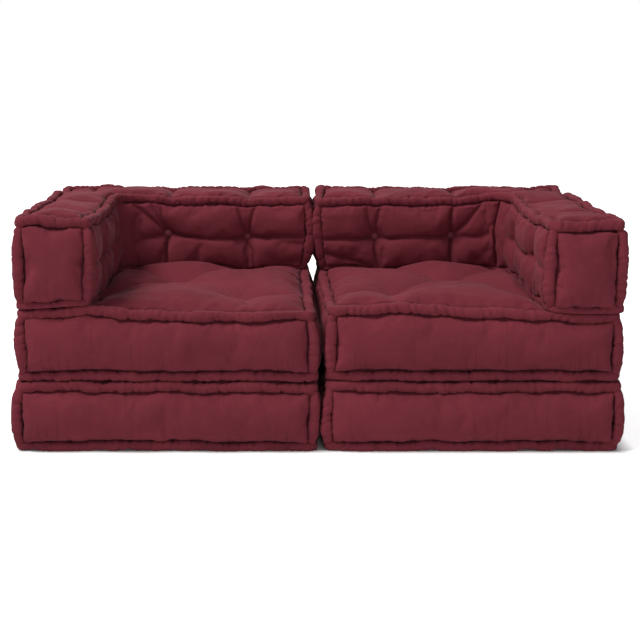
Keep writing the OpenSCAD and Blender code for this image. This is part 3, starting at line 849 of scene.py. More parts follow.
def finishCover(obj, cushion, hand):
    # smooths the cloth, then presses it flat where it lies on or under another cushion
    mesh = smoothCloth(obj)
    obj.vertex_groups.clear()
    flat = getVectors(mesh, "flat")
    places = toModule(readPlaces(mesh), cushion["level"], hand)
    normals = np.empty(len(mesh.vertices) * 3, np.float32)
    mesh.vertex_normals.foreach_get("vector", normals)
    normals = normals.reshape(-1, 3) * [hands[hand]["side"], 1, 1]
    places += normals * fineRelief(flat, cushion, hand)[:, None]
    lift = rolling(places, cushion["level"], hand)
    low = module["skin"] + lift
    high = cushion["height"] - module["skin"] + lift
    if cushion["name"] == "base":
        low = module["floor"] + 0 * lift
    if cushion["name"] == "back":
        low = low - sagging(places)
    places[:, 2] = np.maximum(places[:, 2], low)
    covered = np.ones(len(places), bool)
    if cushion["name"] == "seat":
        covered = (places[:, 0] < armFace - 0.001) | (places[:, 1] > backFace + 0.001)
    if cushion["name"] != "back":
        places[covered, 2] = np.minimum(places[covered, 2], high[covered])
    writePlaces(mesh, toGlobal(places, cushion["level"], hand))
    # painted shade: how tightly each point is creased darkens its dye in the material, and the drag lines
    # are both bumped and darkened with painted shade
    crease = mesh.attributes.new("crease", "FLOAT", "POINT")
    crease.data.foreach_set("value", creaseShadeOf(flat, cushion, hand).astype(np.float32))
    drag = mesh.attributes.new("drag", "FLOAT", "POINT")
    drag.data.foreach_set("value", dragOf(flat, cushion).astype(np.float32))


# What the smoothing would lose, and the painted shade that darkens the dye in seams, folds and drag lines:
# heights, sizes and reaches.
relief = {
    "fine": {"size": 0.016, "height": 0.0006, "reach": 0.016},
    "broad": {"size": 0.045, "height": 0.0004, "reach": 0.05},
    "fold": {"share": 0.42, "narrow": 0.45, "clear": 0.008},
    "seamClear": 0.004,
}
# painted shade at the seams of the covers, lighter on a mattress's top seam, with its reach and how fold
# lines give it
paintedCreaseShade = {"seam": 0.5, "mattressTopSeam": 0.25, "reach": 0.003, "narrow": 0.36, "fade": 0.5, "full": 0.013}
dragFade = {"low": (1.0, 0.055), "high": (0.5, 0.025), "cornerShare": 0.6}


def creaseShadeOf(flat, cushion, hand):
    # how tightly the cloth is folded, from 0 to 1: shade is painted into the dye there, at seams and along
    # folds
    tight = np.zeros(len(flat))
    for name, axis, way, there, distance in eachFace(flat, cushion):
        spot = np.delete(flat[there], axis, 1)
        loose = name == "top" and cushion["kind"] == "mattress"
        deep = paintedCreaseShade["mattressTopSeam" if loose else "seam"] * np.exp(-(distance / paintedCreaseShade["reach"]) ** 2)
        if name in foldsOf(cushion, hand):
            lines = foldDepth(spot, foldsOf(cushion, hand)[name], paintedCreaseShade["narrow"], paintedCreaseShade["fade"])
            deep = np.maximum(deep, np.clip(lines / paintedCreaseShade["full"], 0, 1))
        tight[there] = np.maximum(tight[there], deep)
    return tight


def dragOf(flat, cushion):
    # where fine lines run up and down in the cloth of the upright faces, near their seams; they are bumped
    # and darkened with painted shade
    z0, z1 = seamLevels(cushion)
    (low, lowReach), (high, highReach) = dragFade["low"], dragFade["high"]
    drag = low * np.exp(-(flat[:, 2] - z0) / lowReach) + high * np.exp(-(z1 - flat[:, 2]) / highReach)
    upright = np.zeros(len(flat), bool)
    for name, axis, way, there, distance in eachFace(flat, cushion):
        if axis != 2:
            upright |= there
    share = 1.0 if cushion["kind"] == "mattress" else dragFade["cornerShare"]
    return np.clip(drag, 0, 1) * upright * share


def fineRelief(flat, cushion, hand):
    # sharp folds, small gathers beside the seams and drag lines, which the smoothing would lose
    lift = np.zeros(len(flat))
    seed = cushion["seed"] * 10 + hands[hand]["seed"]
    (ex, ey), (z0, z1) = outerSeams, seamLevels(cushion)
    fine, broad, fold = relief["fine"], relief["broad"], relief["fold"]
    for number, (name, axis, way, there, distance) in enumerate(eachFace(flat, cushion)):
        spot = np.delete(flat[there], axis, 1)
        small = waves(spot, fine["size"], seed + number)
        large = waves(spot, broad["size"], seed + number + 50)
        near = np.exp(-distance / fine["reach"]) * smooth(distance / relief["seamClear"])
        out = fine["height"] * small * near + broad["height"] * large * np.exp(-distance / broad["reach"])
        if name in foldsOf(cushion, hand):
            folded = foldDepth(spot, foldsOf(cushion, hand)[name], fold["narrow"])
            out -= fold["share"] * folded * smooth(distance / fold["clear"])
        if axis != 2:
            ends = (-ex, ex) if axis == 1 else (-ey, ey)
            lines = dragLines(cushion, hand, name, ends, z0, z1)
            out -= foldDepth(spot, lines, 1.0, 1.0) * smooth(distance / relief["seamClear"])
        lift[there] = out
    return lift


for obj, cushion, hand in covers:
    finishCover(obj, cushion, hand)
print("covers smoothed")

# The roll of pinched cloth along every edge. Stitches and gathers cross it, and wrinkles run along it.
roll = {
    "radius": 0.0122,
    "inset": 0.0125,         # from the outer planes to the middle of a roll
    "postInset": 0.006,      # how much further in the upright rolls start and end
    "cornerRadius": 0.009,
    "innerBend": 0.076,
    "stitchSpacing": 0.048,
    "stitchWidth": 0.0034,
    "stitchDepth": 0.30,
    "gatherSpacing": 0.014,
    "wrinkleSpacing": 0.021,
    "wrinkleDepth": 0.0030,
    "wrinkleWidth": 0.0028,
    "lumpHeight": 0.0050,
    "crinkleHeight": 0.0014,
    "squareness": 2.9,
    "step": 0.0032,
    "sides": 18,
    "knob": 0.20, "knobReach": 0.024,          # how much thicker a roll is where it turns a corner
    "slimLower": 0.15, "slimUpper": 0.12,      # and how much thinner along the inner face of the back
    "post": 0.82, "postMiddle": 0.30,          # thickness of an upright roll, and more in its middle
}


def newTree(name, kind, inputs, outputs):
    tree = bpy.data.node_groups.new(name, kind)
    for label, socketType, value in inputs:
        socket = tree.interface.new_socket(label, in_out="INPUT", socket_type=socketType)
        if value is not None:
            socket.default_value = value
    for label, socketType in outputs:
        tree.interface.new_socket(label, in_out="OUTPUT", socket_type=socketType)
    return tree, tree.nodes.new("NodeGroupInput"), tree.nodes.new("NodeGroupOutput")


def addNode(tree, kind, inputs=None, **settings):
    # a node with its settings, and its inputs set to values or linked from sockets
    node = tree.nodes.new(kind)
    for key, value in settings.items():
        setattr(node, key, value)
    for key, value in (inputs or {}).items():
        if isinstance(value, bpy.types.NodeSocket):
            tree.links.new(value, node.inputs[key])
        else:
            node.inputs[key].default_value = value
    return node


def math1(tree, operation, a, b=0.0, c=0.0):
    node = addNode(tree, "ShaderNodeMath", {0: a, 1: b, 2: c}, operation=operation)
    return node.outputs[0]


def times(tree, a, b):
    return math1(tree, "MULTIPLY", a, b)


def timesPlus(tree, a, b, c):
    return math1(tree, "MULTIPLY_ADD", a, b, c)


def fallOff(tree, away, power):
    # 1 where away is 0, and falling to 0 beside it
    return math1(tree, "EXPONENT", times(tree, math1(tree, "POWER", away, power), -1.0))


def centred(tree, a, amount):
    # a value of 0 to 1 becomes one that goes as far down as up
    return times(tree, math1(tree, "SUBTRACT", a, 0.5), amount)


def scaled(tree, vector, scale):
    node = addNode(tree, "ShaderNodeVectorMath", {0: vector, "Scale": scale}, operation="SCALE")
    return node.outputs["Vector"]


def stretched(tree, vector, by):
    return addNode(tree, "ShaderNodeVectorMath", {0: vector, 1: by}, operation="MULTIPLY").outputs["Vector"]


def joined(tree, x, y, z=0.0):
    return addNode(tree, "ShaderNodeCombineXYZ", {0: x, 1: y, 2: z}).outputs[0]


def clamped(tree, a):
    return addNode(tree, "ShaderNodeClamp", {0: a}).outputs[0]


def noise(tree, place, detail, dimensions="3D", scale=1.0, roughness=0.5):
    values = {"W" if dimensions == "1D" else "Vector": place, "Scale": scale, "Detail": detail,
              "Roughness": roughness}
    return addNode(tree, "ShaderNodeTexNoise", values, noise_dimensions=dimensions).outputs["Fac"]


def toUnevenLines(tree, along, randomness):
    # the distance to the nearest of uneven lines that lie about 1 apart
    values = {"W": along, "Scale": 1.0, "Randomness": randomness}
    return addNode(tree, "ShaderNodeTexVoronoi", values, voronoi_dimensions="1D",
                   feature="DISTANCE_TO_EDGE").outputs["Distance"]


def attribute(tree, name, kind="FLOAT"):
    return addNode(tree, "GeometryNodeInputNamedAttribute", {"Name": name}, data_type=kind).outputs[0]


def store(tree, geometry, name, value, kind="FLOAT", domain="POINT"):
    node = addNode(tree, "GeometryNodeStoreNamedAttribute",
                   {"Geometry": geometry, "Name": name, "Value": value}, data_type=kind, domain=domain)
    return node.outputs[0]


def dress(tree, geometry, cloth, result):
    # makes instances real, gives them their cloth and hands them to the tree's result
    real = addNode(tree, "GeometryNodeRealizeInstances", {"Geometry": geometry})
    dressed = addNode(tree, "GeometryNodeSetMaterial", {"Geometry": real.outputs[0], "Material": cloth})
    tree.links.new(dressed.outputs[0], result)


def makeRollTree():
    tree, start, end = newTree("rolledEdge", "GeometryNodeTree", [
        ("Seam Lines", "NodeSocketGeometry", None),
        ("Roll Radius", "NodeSocketFloat", 0.012),
        ("Stitch Spacing", "NodeSocketFloat", 0.05),
        ("Stitch Width", "NodeSocketFloat", 0.004),
        ("Stitch Depth", "NodeSocketFloat", 0.15),
        ("Gather Spacing", "NodeSocketFloat", 0.015),
        ("Wrinkle Spacing", "NodeSocketFloat", 0.02),
        ("Wrinkle Depth", "NodeSocketFloat", 0.001),
        ("Wrinkle Width", "NodeSocketFloat", 0.003),
        ("Lump Height", "NodeSocketFloat", 0.004),
        ("Crinkle Height", "NodeSocketFloat", 0.001),
        ("Step", "NodeSocketFloat", 0.003),
        ("Sides", "NodeSocketInt", 18),
        ("Squareness", "NodeSocketFloat", 2.7),
        ("Seed", "NodeSocketFloat", 0.0),
        ("Cloth", "NodeSocketMaterial", None),
    ], [("Rolls", "NodeSocketGeometry")])
    value = start.outputs
    lines = addNode(tree, "GeometryNodeMeshToCurve", {"Mesh": value["Seam Lines"]})
    even = addNode(tree, "GeometryNodeResampleCurve",
                   {"Curve": lines.outputs[0], "Length": value["Step"]}, mode="LENGTH")
    spline = addNode(tree, "GeometryNodeSplineParameter").outputs
    number, thick, bunched = [attribute(tree, name) for name in ("line", "thick", "gather")]
    seed = timesPlus(tree, number, 31.7, value["Seed"])

    def grooves(spacing, width, amount):
        # dips at uneven places, about one spacing apart
        count = math1(tree, "DIVIDE", spline["Length"], spacing)
        away = times(tree, toUnevenLines(tree, math1(tree, "ADD", count, seed), 0.8), spacing)
        return times(tree, fallOff(tree, math1(tree, "DIVIDE", away, width), 1.5), amount)

    # the thickness of the roll along its line, with its stitches and gathers
    stitched = grooves(value["Stitch Spacing"], value["Stitch Width"], 1.0)
    gathered = grooves(value["Gather Spacing"], value["Stitch Width"], bunched)
    slow = noise(tree, math1(tree, "ADD", times(tree, spline["Length"], 14.0), seed), 1.0, "1D")
    uneven = timesPlus(tree, slow, 0.5, 0.75)
    tight = timesPlus(tree, stitched, 0.34, times(tree, gathered, 0.55))
    pinch = timesPlus(tree, times(tree, tight, value["Stitch Depth"]), -1.0, uneven)
    factor = times(tree, times(tree, pinch, thick), value["Roll Radius"])
    # the stitches and gathers, kept to bite the roll in and to paint shade into it there
    kept = store(tree, even.outputs[0], "crease", math1(tree, "MAXIMUM", stitched, gathered))
    kept = store(tree, kept, "run", spline["Length"])
    ring = addNode(tree, "GeometryNodeCurveArc",
                   {"Resolution": math1(tree, "ADD", value["Sides"], 1.0), "Radius": 1.0,
                    "Sweep Angle": 2 * math.pi}, mode="RADIUS")
    around = store(tree, ring.outputs[0], "around", spline["Factor"])
    tube = addNode(tree, "GeometryNodeCurveToMesh",
                   {"Curve": kept, "Profile Curve": around, "Scale": factor})
    run, turn, pinched = [attribute(tree, name) for name in ("run", "around", "crease")]
    cloth = joined(tree, run, times(tree, turn, 2 * math.pi * roll["radius"]))
    mapped = store(tree, tube.outputs[0], "UVMap", cloth, "FLOAT2", "CORNER")
    closed = addNode(tree, "GeometryNodeMergeByDistance", {"Geometry": mapped, "Distance": 0.00002})

    # lumps of the cloth inside, and crinkles across the roll
    normal = addNode(tree, "GeometryNodeInputNormal").outputs[0]
    place = addNode(tree, "GeometryNodeInputPosition").outputs[0]
    lump = noise(tree, scaled(tree, place, 55.0), 2.0)
    crinkle = noise(tree, joined(tree, times(tree, run, 120.0), times(tree, turn, 2.5), value["Seed"]), 1.0)
    lumpOut = centred(tree, lump, value["Lump Height"])
    crinkleOut = centred(tree, crinkle, value["Crinkle Height"])

    # the side towards the cushion is bitten in at the stitches
    inward = attribute(tree, "inward", "FLOAT_VECTOR")
    facing = addNode(tree, "ShaderNodeVectorMath", {0: normal, 1: inward}, operation="DOT_PRODUCT")
    facing = facing.outputs["Value"]
    inside = math1(tree, "POWER", math1(tree, "MAXIMUM", timesPlus(tree, facing, 0.5, 0.5), 0.0), 1.5)
    bite = times(tree, times(tree, pinched, inside), times(tree, value["Stitch Depth"], roll["radius"]))

    # a roll is a little square in section: lines 2 and up are upright, the others lie flat
    part = addNode(tree, "ShaderNodeSeparateXYZ", {0: normal}).outputs
    post = math1(tree, "GREATER_THAN", number, 1.5)
    flatWay = math1(tree, "SQRT", math1(tree, "MAXIMUM", math1(
        tree, "SUBTRACT", 1.0, math1(tree, "POWER", part[2], 2.0)), 0.0))
    across = [addNode(tree, "ShaderNodeMix", {0: post, 2: a, 3: b}).outputs[0]
              for a, b in ((part[2], part[0]), (flatWay, part[1]))]
    powers = [math1(tree, "POWER", math1(tree, "ABSOLUTE", a), value["Squareness"]) for a in across]
    both = math1(tree, "MAXIMUM", math1(tree, "ADD", powers[0], powers[1]), 0.4)
    squared = math1(tree, "SUBTRACT", math1(tree, "POWER", both, math1(
        tree, "DIVIDE", -1.0, value["Squareness"])), 1.0)
    squareOut = times(tree, squared, value["Roll Radius"])

    # wrinkles lean across the roll, here and there
    swing = math1(tree, "SINE", timesPlus(tree, turn, 2 * math.pi, times(tree, run, 11.0)))
    leaning = math1(tree, "ADD", run, times(tree, swing, 0.006))
    count = math1(tree, "DIVIDE", leaning, value["Wrinkle Spacing"])
    beyond = toUnevenLines(tree, timesPlus(tree, number, 17.3, count), 0.9)
    beyond = times(tree, beyond, math1(tree, "DIVIDE", value["Wrinkle Spacing"], value["Wrinkle Width"]))
    some = noise(tree, joined(tree, times(tree, run, 23.0), times(tree, turn, 1.5),
                              math1(tree, "ADD", number, value["Seed"])), 0.0)
    chosen = clamped(tree, timesPlus(tree, some, 6.0, -2.3))
    wrinkles = times(tree, times(tree, fallOff(tree, beyond, 1.4), chosen), value["Wrinkle Depth"])

    out = math1(tree, "SUBTRACT", math1(tree, "ADD", math1(tree, "ADD", lumpOut, squareOut), crinkleOut),
                math1(tree, "ADD", bite, wrinkles))
    # painted shade: the roll is darkened on its side towards the cushion, along the seam, and at its
    # stitches, where shade falls in the groove
    seam = clamped(tree, timesPlus(tree, inside, 3.3, -1.6))
    paintedShade = math1(tree, "MAXIMUM", times(tree, seam, 0.4), times(tree, pinched, inside))
    toned = store(tree, closed.outputs[0], "crease", paintedShade)
    shaped = addNode(tree, "GeometryNodeSetPosition",
                     {"Geometry": toned, "Offset": scaled(tree, normal, out)})
    smoothed = addNode(tree, "GeometryNodeSetShadeSmooth", {"Geometry": shaped.outputs[0]})
    dress(tree, smoothed.outputs[0], value["Cloth"], end.inputs["Rolls"])
    return tree


def loopPath(corners, level):
    # a closed line through corners (x, y, radius), with points about 8 mm apart
    points = []
    count = len(corners)
    for i in range(count):
        a, b, c = [np.array(corners[j % count][:2], float) for j in (i - 1, i, i + 1)]
        radius = corners[i][2]
        before, after = (a - b) / np.linalg.norm(a - b), (c - b) / np.linalg.norm(c - b)
        stop = b + after * radius
        middle = b + (before + after) * radius
        steps = max(4, round(radius * 1.57 / 0.006))
        for k in range(steps + 1):
            angle = math.pi / 2 * k / steps
            points.append(middle - after * radius * math.cos(angle) - before * radius * math.sin(angle))
        following = np.array(corners[(i + 1) % count][:2], float)
        last = following + (b - following) / np.linalg.norm(b - following) * corners[(i + 1) % count][2]
        gaps = max(1, round(np.linalg.norm(last - stop) / 0.008))
        points += [stop + (last - stop) * k / gaps for k in range(1, gaps)]
    return np.array([(x, y, level) for x, y in points])


def rollPaths(cushion):
    bend = roll["cornerRadius"]
    inset, postInset = roll["inset"], roll["postInset"]
    x, y = module["halfWidth"] - inset, module["halfDepth"] - inset
    height = cushion["height"]
    levels = [inset, height - inset]
    if cushion["kind"] == "mattress":
        loop = [(x, y, bend), (-x, y, bend), (-x, -y, bend), (x, -y, bend)]
    else:
        ax, ay = armFace - inset, backFace + inset
        loop = [(x, y, bend), (-x, y, bend), (-x, -y, bend), (ax, -y, bend),
                (ax, ay, roll["innerBend"]), (x, ay, bend)]
    paths = [(loopPath(loop, levels[0]), True, -1), (loopPath(loop, levels[1]), True, 1)]
    for cx, cy, outX, outY in cornersOf(cushion):
        # an upright roll bows out in its middle and is drawn in near both ends
        px, py = cx - outX * (inset + postInset), cy - outY * (inset + postInset)
        zs = np.linspace(levels[0] - 0.002, levels[1] + 0.002, 24)
        t = 2 * zs / height - 1
        bulge = postInset * (1.25 * (1 - t ** 2) - 0.55 * np.exp(-((np.abs(t) - 0.80) / 0.12) ** 2))
        post = np.stack([px + outX * bulge, py + outY * bulge, zs], 1)
        paths.append((post, False, 0))
    return paths


def inwardOf(points, cushion, updown):
    # the way into the cushion from each point of a roll, at 45 degrees to both faces
    way = np.zeros((len(points), 3))
    if cushion["kind"] == "mattress":
        gapX = module["halfWidth"] - np.abs(points[:, 0])
        gapY = module["halfDepth"] - np.abs(points[:, 1])
        way[:, 0] = -np.sign(points[:, 0]) * (gapX < 0.03)
        way[:, 1] = -np.sign(points[:, 1]) * (gapY < 0.03)
    else:
        x, y = points[:, 0], points[:, 1]
        hw, hd = module["halfWidth"], module["halfDepth"]
        way[:, 0] = (x < -hw + 0.03) * 1.0 - (x > hw - 0.03) * 1.0
        way[:, 1] = (y < -hd + 0.03) * 1.0 - (y > hd - 0.03) * 1.0
        inArm = (np.abs(x - armFace + roll["inset"]) < 0.035) & (y < backFace)
        inBack = (np.abs(y - backFace - roll["inset"]) < 0.035) & (x > armFace)
        way[inArm, 0] = -1
        way[inBack, 1] = 1
    way[:, 2] = -updown
    return way / np.maximum(np.linalg.norm(way, axis=1, keepdims=True), 1e-9)


def makeRolls(hand, cushion, tree, cloth):
    points, edges, inward, thick, line, gather = [], [], [], [], [], []
    for number, (path, closed, updown) in enumerate(rollPaths(cushion)):
        first = len(points)
        way = inwardOf(path, cushion, updown)
        settled = settle(path, cushion, hand)
        count = len(path)
        points += toGlobal(settled, cushion["level"], hand).tolist()
        inward += (way * [hands[hand]["side"], 1, 1]).tolist()
        edges += [(first + i, first + i + 1) for i in range(count - 1)]
        knob = nearest(path, cornersOf(cushion), roll["knobReach"])
        if closed:
            edges.append((first + count - 1, first))
            slim = np.zeros(count)
            if cushion["kind"] == "corner":
                slim = np.exp(-((path[:, 1] - backFace) / 0.03) ** 2)
                slim *= smooth((path[:, 0] - armFace) / 0.05)
            slimmer = roll["slimLower" if updown < 0 else "slimUpper"] * slim
            thick += (1 + roll["knob"] * knob - slimmer).tolist()
        else:
            ends = np.minimum(np.arange(count), np.arange(count)[::-1]) / (count - 1)
            thick += (np.sqrt(1 - (1 - np.clip(ends / 0.08, 0, 1)) ** 2)
                      * (roll["post"] + roll["postMiddle"] * smooth((ends - 0.06) / 0.25))).tolist()
        gather += (closed * np.maximum(nearest(path, pinchesOf(cushion), 0.030), 0.75 * knob)).tolist()
        line += [float(number)] * count
    name = pieceName(hand, cushion, "EdgeRoll")
    mesh = bpy.data.meshes.new(name)
    mesh.from_pydata(points, edges, [])
    for label, values in (("thick", thick), ("line", line), ("gather", gather)):
        mesh.attributes.new(label, "FLOAT", "POINT").data.foreach_set("value", values)
    setVectors(mesh, "inward", np.array(inward))
    values = {
        "Roll Radius": roll["radius"], "Stitch Spacing": roll["stitchSpacing"],
        "Stitch Width": roll["stitchWidth"], "Stitch Depth": roll["stitchDepth"],
        "Gather Spacing": roll["gatherSpacing"],
        "Wrinkle Spacing": roll["wrinkleSpacing"], "Wrinkle Depth": roll["wrinkleDepth"],
        "Wrinkle Width": roll["wrinkleWidth"],
        "Lump Height": roll["lumpHeight"], "Crinkle Height": roll["crinkleHeight"],
        "Step": roll["step"], "Sides": roll["sides"], "Squareness": roll["squareness"],
        "Seed": float(cushion["seed"] + hands[hand]["seed"]), "Cloth": cloth,
    }
    obj = runTree(addObject(name, mesh), tree, values)
    places = toModule(readPlaces(obj.data), cushion["level"], hand)
    lift = rolling(places, cushion["level"], hand)
    top = cushion["height"] - module["rollSkin"] + (0.05 if cushion["name"] == "back" else 0)
    low = module["rollSkin"] + lift - (sagging(places) if cushion["name"] == "back" else 0)
    places[:, 2] = np.clip(places[:, 2], low, top + lift)
    writePlaces(obj.data, toGlobal(places, cushion["level"], hand))
    return obj


def nearest(path, spots, reach):
    # 1 beside one of the spots, and 0 from about twice the reach on
    near = np.zeros(len(path))
    for spot in spots:
        gap = np.hypot(path[:, 0] - spot[0], path[:, 1] - spot[1])
        near = np.maximum(near, np.exp(-(gap / reach) ** 2))
    return near


def runTree(obj, tree, values):
    # runs a node tree on an object and keeps its result as a plain mesh
    nodes = obj.modifiers.new("nodes", "NODES")
    nodes.node_group = tree
    for item in tree.interface.items_tree:
        if item.item_type == "SOCKET" and item.in_out == "INPUT" and item.name in values:
            nodes[item.identifier] = values[item.name]
    obj.update_tag()
    applyModifiers(obj)
    return obj


# Burgundy cotton, a little faded, in the same weave on covers, rolls and buttons.
cotton = {
    "dye": (0.158, 0.0245, 0.0362), "buttonDye": (0.17, 0.040, 0.052),
    "variation": 0.55, "buttonVariation": 0.25,
    "thread": 0.0011, "bump": 0.45, "buttonBump": 0.35, "bumpHeight": 0.0006,
    "sheen": 0.07, "sheenRoughness": 0.3, "sheenTint": (1.0, 0.72, 0.76, 1.0), "specular": 0.1,
}


def makeWeaveGroup():
    tree, start, end = newTree("cottonWeave", "ShaderNodeTree", [
        ("Cloth Place", "NodeSocketVector", None),
        ("Place", "NodeSocketVector", None),
        ("Thread", "NodeSocketFloat", 0.0011),
        ("Dye", "NodeSocketColor", (0.15, 0.03, 0.04, 1)),
        ("Variation", "NodeSocketFloat", 0.2),
        ("Crease Shade", "NodeSocketFloat", 0.0),
        ("Drag", "NodeSocketFloat", 0.0),
    ], [("Colour", "NodeSocketColor"), ("Height", "NodeSocketFloat"), ("Roughness", "NodeSocketFloat")])
    value = start.outputs
    place, where = value["Cloth Place"], value["Place"]
    turns = math1(tree, "DIVIDE", math.pi, value["Thread"])
    part = addNode(tree, "ShaderNodeSeparateXYZ", {0: scaled(tree, place, turns)}).outputs
    over = times(tree, math1(tree, "SINE", part[0]), math1(tree, "SINE", part[1]))
    slubs = [noise(tree, stretched(tree, place, by), 2.0, "2D") for by in ((900, 45, 1), (45, 900, 1))]
    slub = times(tree, math1(tree, "ADD", slubs[0], slubs[1]), 0.5)

    # drag lines, thin and here and there, both bumped and darkened with painted shade
    own = addNode(tree, "ShaderNodeSeparateXYZ", {0: place})
    bent = noise(tree, stretched(tree, place, (4, 16, 1)), 1.0, "2D")
    across = timesPlus(tree, bent, 0.5, times(tree, own.outputs[0], 1 / 0.022))
    thin = fallOff(tree, math1(tree, "DIVIDE", toUnevenLines(tree, across, 1.0), 0.045), 1.3)
    some = noise(tree, stretched(tree, place, (19, 9, 1)), 0.0, "2D")
    few = clamped(tree, timesPlus(tree, some, 7.0, -3.6))
    dragged = times(tree, times(tree, thin, few), value["Drag"])
    height = timesPlus(tree, dragged, -1.6, timesPlus(tree, over, 0.25, slub))

    # the dye varies in clouds, threads and worn spots, and shade is painted into it where the cloth is
    # creased and along the drag lines
    cloud = noise(tree, where, 3.0, scale=7.0, roughness=0.55)
    worn = noise(tree, where, 2.0, scale=60.0)
    spread = math1(tree, "ADD", math1(tree, "SUBTRACT", cloud, 0.5), centred(tree, slub, 0.9))
    spread = math1(tree, "ADD", spread, centred(tree, worn, 0.35))
    tone = timesPlus(tree, spread, value["Variation"], 1.0)
    # painted shade in creases and seams, then along the drag lines
    tone = times(tree, tone, timesPlus(tree, value["Crease Shade"], -0.5, 1.0))
    tone = times(tree, tone, timesPlus(tree, dragged, -0.42, 1.0))
    tree.links.new(scaled(tree, value["Dye"], tone), end.inputs["Colour"])
    tree.links.new(height, end.inputs["Height"])
    tree.links.new(timesPlus(tree, slub, 0.16, 0.82), end.inputs["Roughness"])
    return tree


def newMaterial(name):
    material = bpy.data.materials.new(name)
    material.use_nodes = True
    return material, material.node_tree, material.node_tree.nodes["Principled BSDF"].inputs


def makeCotton(name, weave, dye, variation, bump):
    material, tree, shader = newMaterial(name)
    uv = addNode(tree, "ShaderNodeUVMap", uv_map="UVMap")
    place = addNode(tree, "ShaderNodeTexCoord")
    # the crease and drag masks carry painted shade into the dye of the weave
    crease = addNode(tree, "ShaderNodeAttribute", attribute_name="crease")
    drag = addNode(tree, "ShaderNodeAttribute", attribute_name="drag")
    cloth = addNode(tree, "ShaderNodeGroup", node_tree=weave)
    for label, value in (("Crease Shade", crease.outputs["Fac"]), ("Drag", drag.outputs["Fac"]),
                         ("Cloth Place", uv.outputs[0]), ("Place", place.outputs["Object"])):
        tree.links.new(value, cloth.inputs[label])
    for label, value in (("Thread", cotton["thread"]), ("Dye", (*dye, 1)), ("Variation", variation)):
        cloth.inputs[label].default_value = value
    tree.links.new(cloth.outputs["Colour"], shader["Base Color"])
    tree.links.new(cloth.outputs["Roughness"], shader["Roughness"])
    relief = addNode(tree, "ShaderNodeBump", {"Height": cloth.outputs["Height"], "Strength": bump,
                                              "Distance": cotton["bumpHeight"]})
    tree.links.new(relief.outputs[0], shader["Normal"])
    shader["Sheen Weight"].default_value = cotton["sheen"]
    shader["Sheen Roughness"].default_value = cotton["sheenRoughness"]
    shader["Sheen Tint"].default_value = cotton["sheenTint"]
    shader["Specular IOR Level"].default_value = cotton["specular"]
    return material


weave = makeWeaveGroup()
coverCotton = makeCotton("coverCotton", weave, cotton["dye"], cotton["variation"], cotton["bump"])
rollCotton = makeCotton("rollCotton", weave, cotton["dye"], cotton["variation"], cotton["bump"])
buttonCotton = makeCotton("buttonCotton", weave, cotton["buttonDye"], cotton["buttonVariation"],
                          cotton["buttonBump"])
print("materials mixed")


def mapCloth(mesh):
    # cloth coordinates in metres along each face, from the lattice before it took its form
    flat = getVectors(mesh, "flat")
    corners = np.empty(len(mesh.loops), np.int32)
    mesh.loops.foreach_get("vertex_index", corners)
    spots = flat[corners].reshape(-1, 4, 3)
    spread = spots.max(1) - spots.min(1)
    axis = spread.argmin(1)
    keep = np.array([(1, 2), (0, 2), (0, 1)])[axis]
    uv = np.take_along_axis(spots, np.repeat(keep[:, None, :], 4, 1), 2)
    layer = mesh.uv_layers.new(name="UVMap")
    layer.data.foreach_set("uv", uv.astype(np.float32).ravel())


rollTree = makeRollTree()
rolls = []
for obj, cushion, hand in covers:
    mapCloth(obj.data)
    obj.data.materials.append(coverCotton)
    rolls.append(makeRolls(hand, cushion, rollTree, rollCotton))
    body = hand + "_" + cushion["name"]
    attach(obj, body)
    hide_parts(body + "_cover")
    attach(rolls[-1], body)
    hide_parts(body + "_edge_roll")
print("rolled edges stitched")

# A button covered in gathered cloth, tied down into each tuft.
button = {
    "radius": 0.0095,
    "dome": 0.006,
    "letIn": 0.001,      # of its flat back into the hollow of the tuft
    "gathers": 13,
    "gatherDepth": 0.00022,
    "sides": 26,
    # from the flat back up over the shoulder: shares of the radius and of the dome
    "profile": [(0.55, 0.0), (0.97, 0.0), (1.0, 0.12), (0.985, 0.3), (0.90, 0.55), (0.74, 0.76),
                (0.52, 0.90), (0.28, 0.98)],
}


def makeButtonShape():
    # a covered button: flat back, round shoulder, and small gathers of cloth round its rim
    r, h, profile, turns = button["radius"], button["dome"], button["profile"], button["sides"]
    points = [(0, 0, 0)]
    for k, (share, level) in enumerate(profile):
        for i in range(turns):
            angle = 2 * math.pi * i / turns
            rim = button["gatherDepth"] * (1 if 1 <= k <= 4 else 0.3)
            radius = r * share + rim * math.cos(button["gathers"] * angle)
            points.append((radius * math.cos(angle), radius * math.sin(angle), h * level))
    points.append((0, 0, h))
    faces = [(0, 1 + (i + 1) % turns, 1 + i) for i in range(turns)]
    for k in range(len(profile) - 1):
        for i in range(turns):
            a, b = 1 + k * turns + i, 1 + k * turns + (i + 1) % turns
            faces.append((a, b, b + turns, a + turns))
    last = 1 + (len(profile) - 1) * turns
    faces += [(last + i, last + (i + 1) % turns, len(points) - 1) for i in range(turns)]
    mesh = bpy.data.meshes.new("buttonShape")
    mesh.from_pydata(points, [], faces)
    layer = mesh.uv_layers.new(name="UVMap")
    for loop in mesh.loops:
        layer.data[loop.index].uv = mesh.vertices[loop.vertex_index].co.xy
    mesh.polygons.foreach_set("use_smooth", np.ones(len(faces), bool))
    return addObject("buttonShape", mesh)


def buttonSeats(cushion):
    # the middle of each button's flat back, and the way it faces
    back = cushion["tuftDepth"] + button["letIn"]
    seats = []
    if cushion["kind"] == "mattress":
        for x, y in tufts["mattress"]:
            seats += [((x, y, cushion["height"] - back), (0, 0, 1)), ((x, y, back), (0, 0, -1))]
        return seats
    w, d, z = module["halfWidth"], module["halfDepth"], cushion["height"] / 2
    for x in tufts["backX"]:
        seats += [((x, backFace + back, z), (0, -1, 0)), ((x, d - back, z), (0, 1, 0))]
    for y in tufts["armY"]:
        seats += [((armFace - back, y, z), (1, 0, 0)), ((-w + back, y, z), (-1, 0, 0))]
    return seats


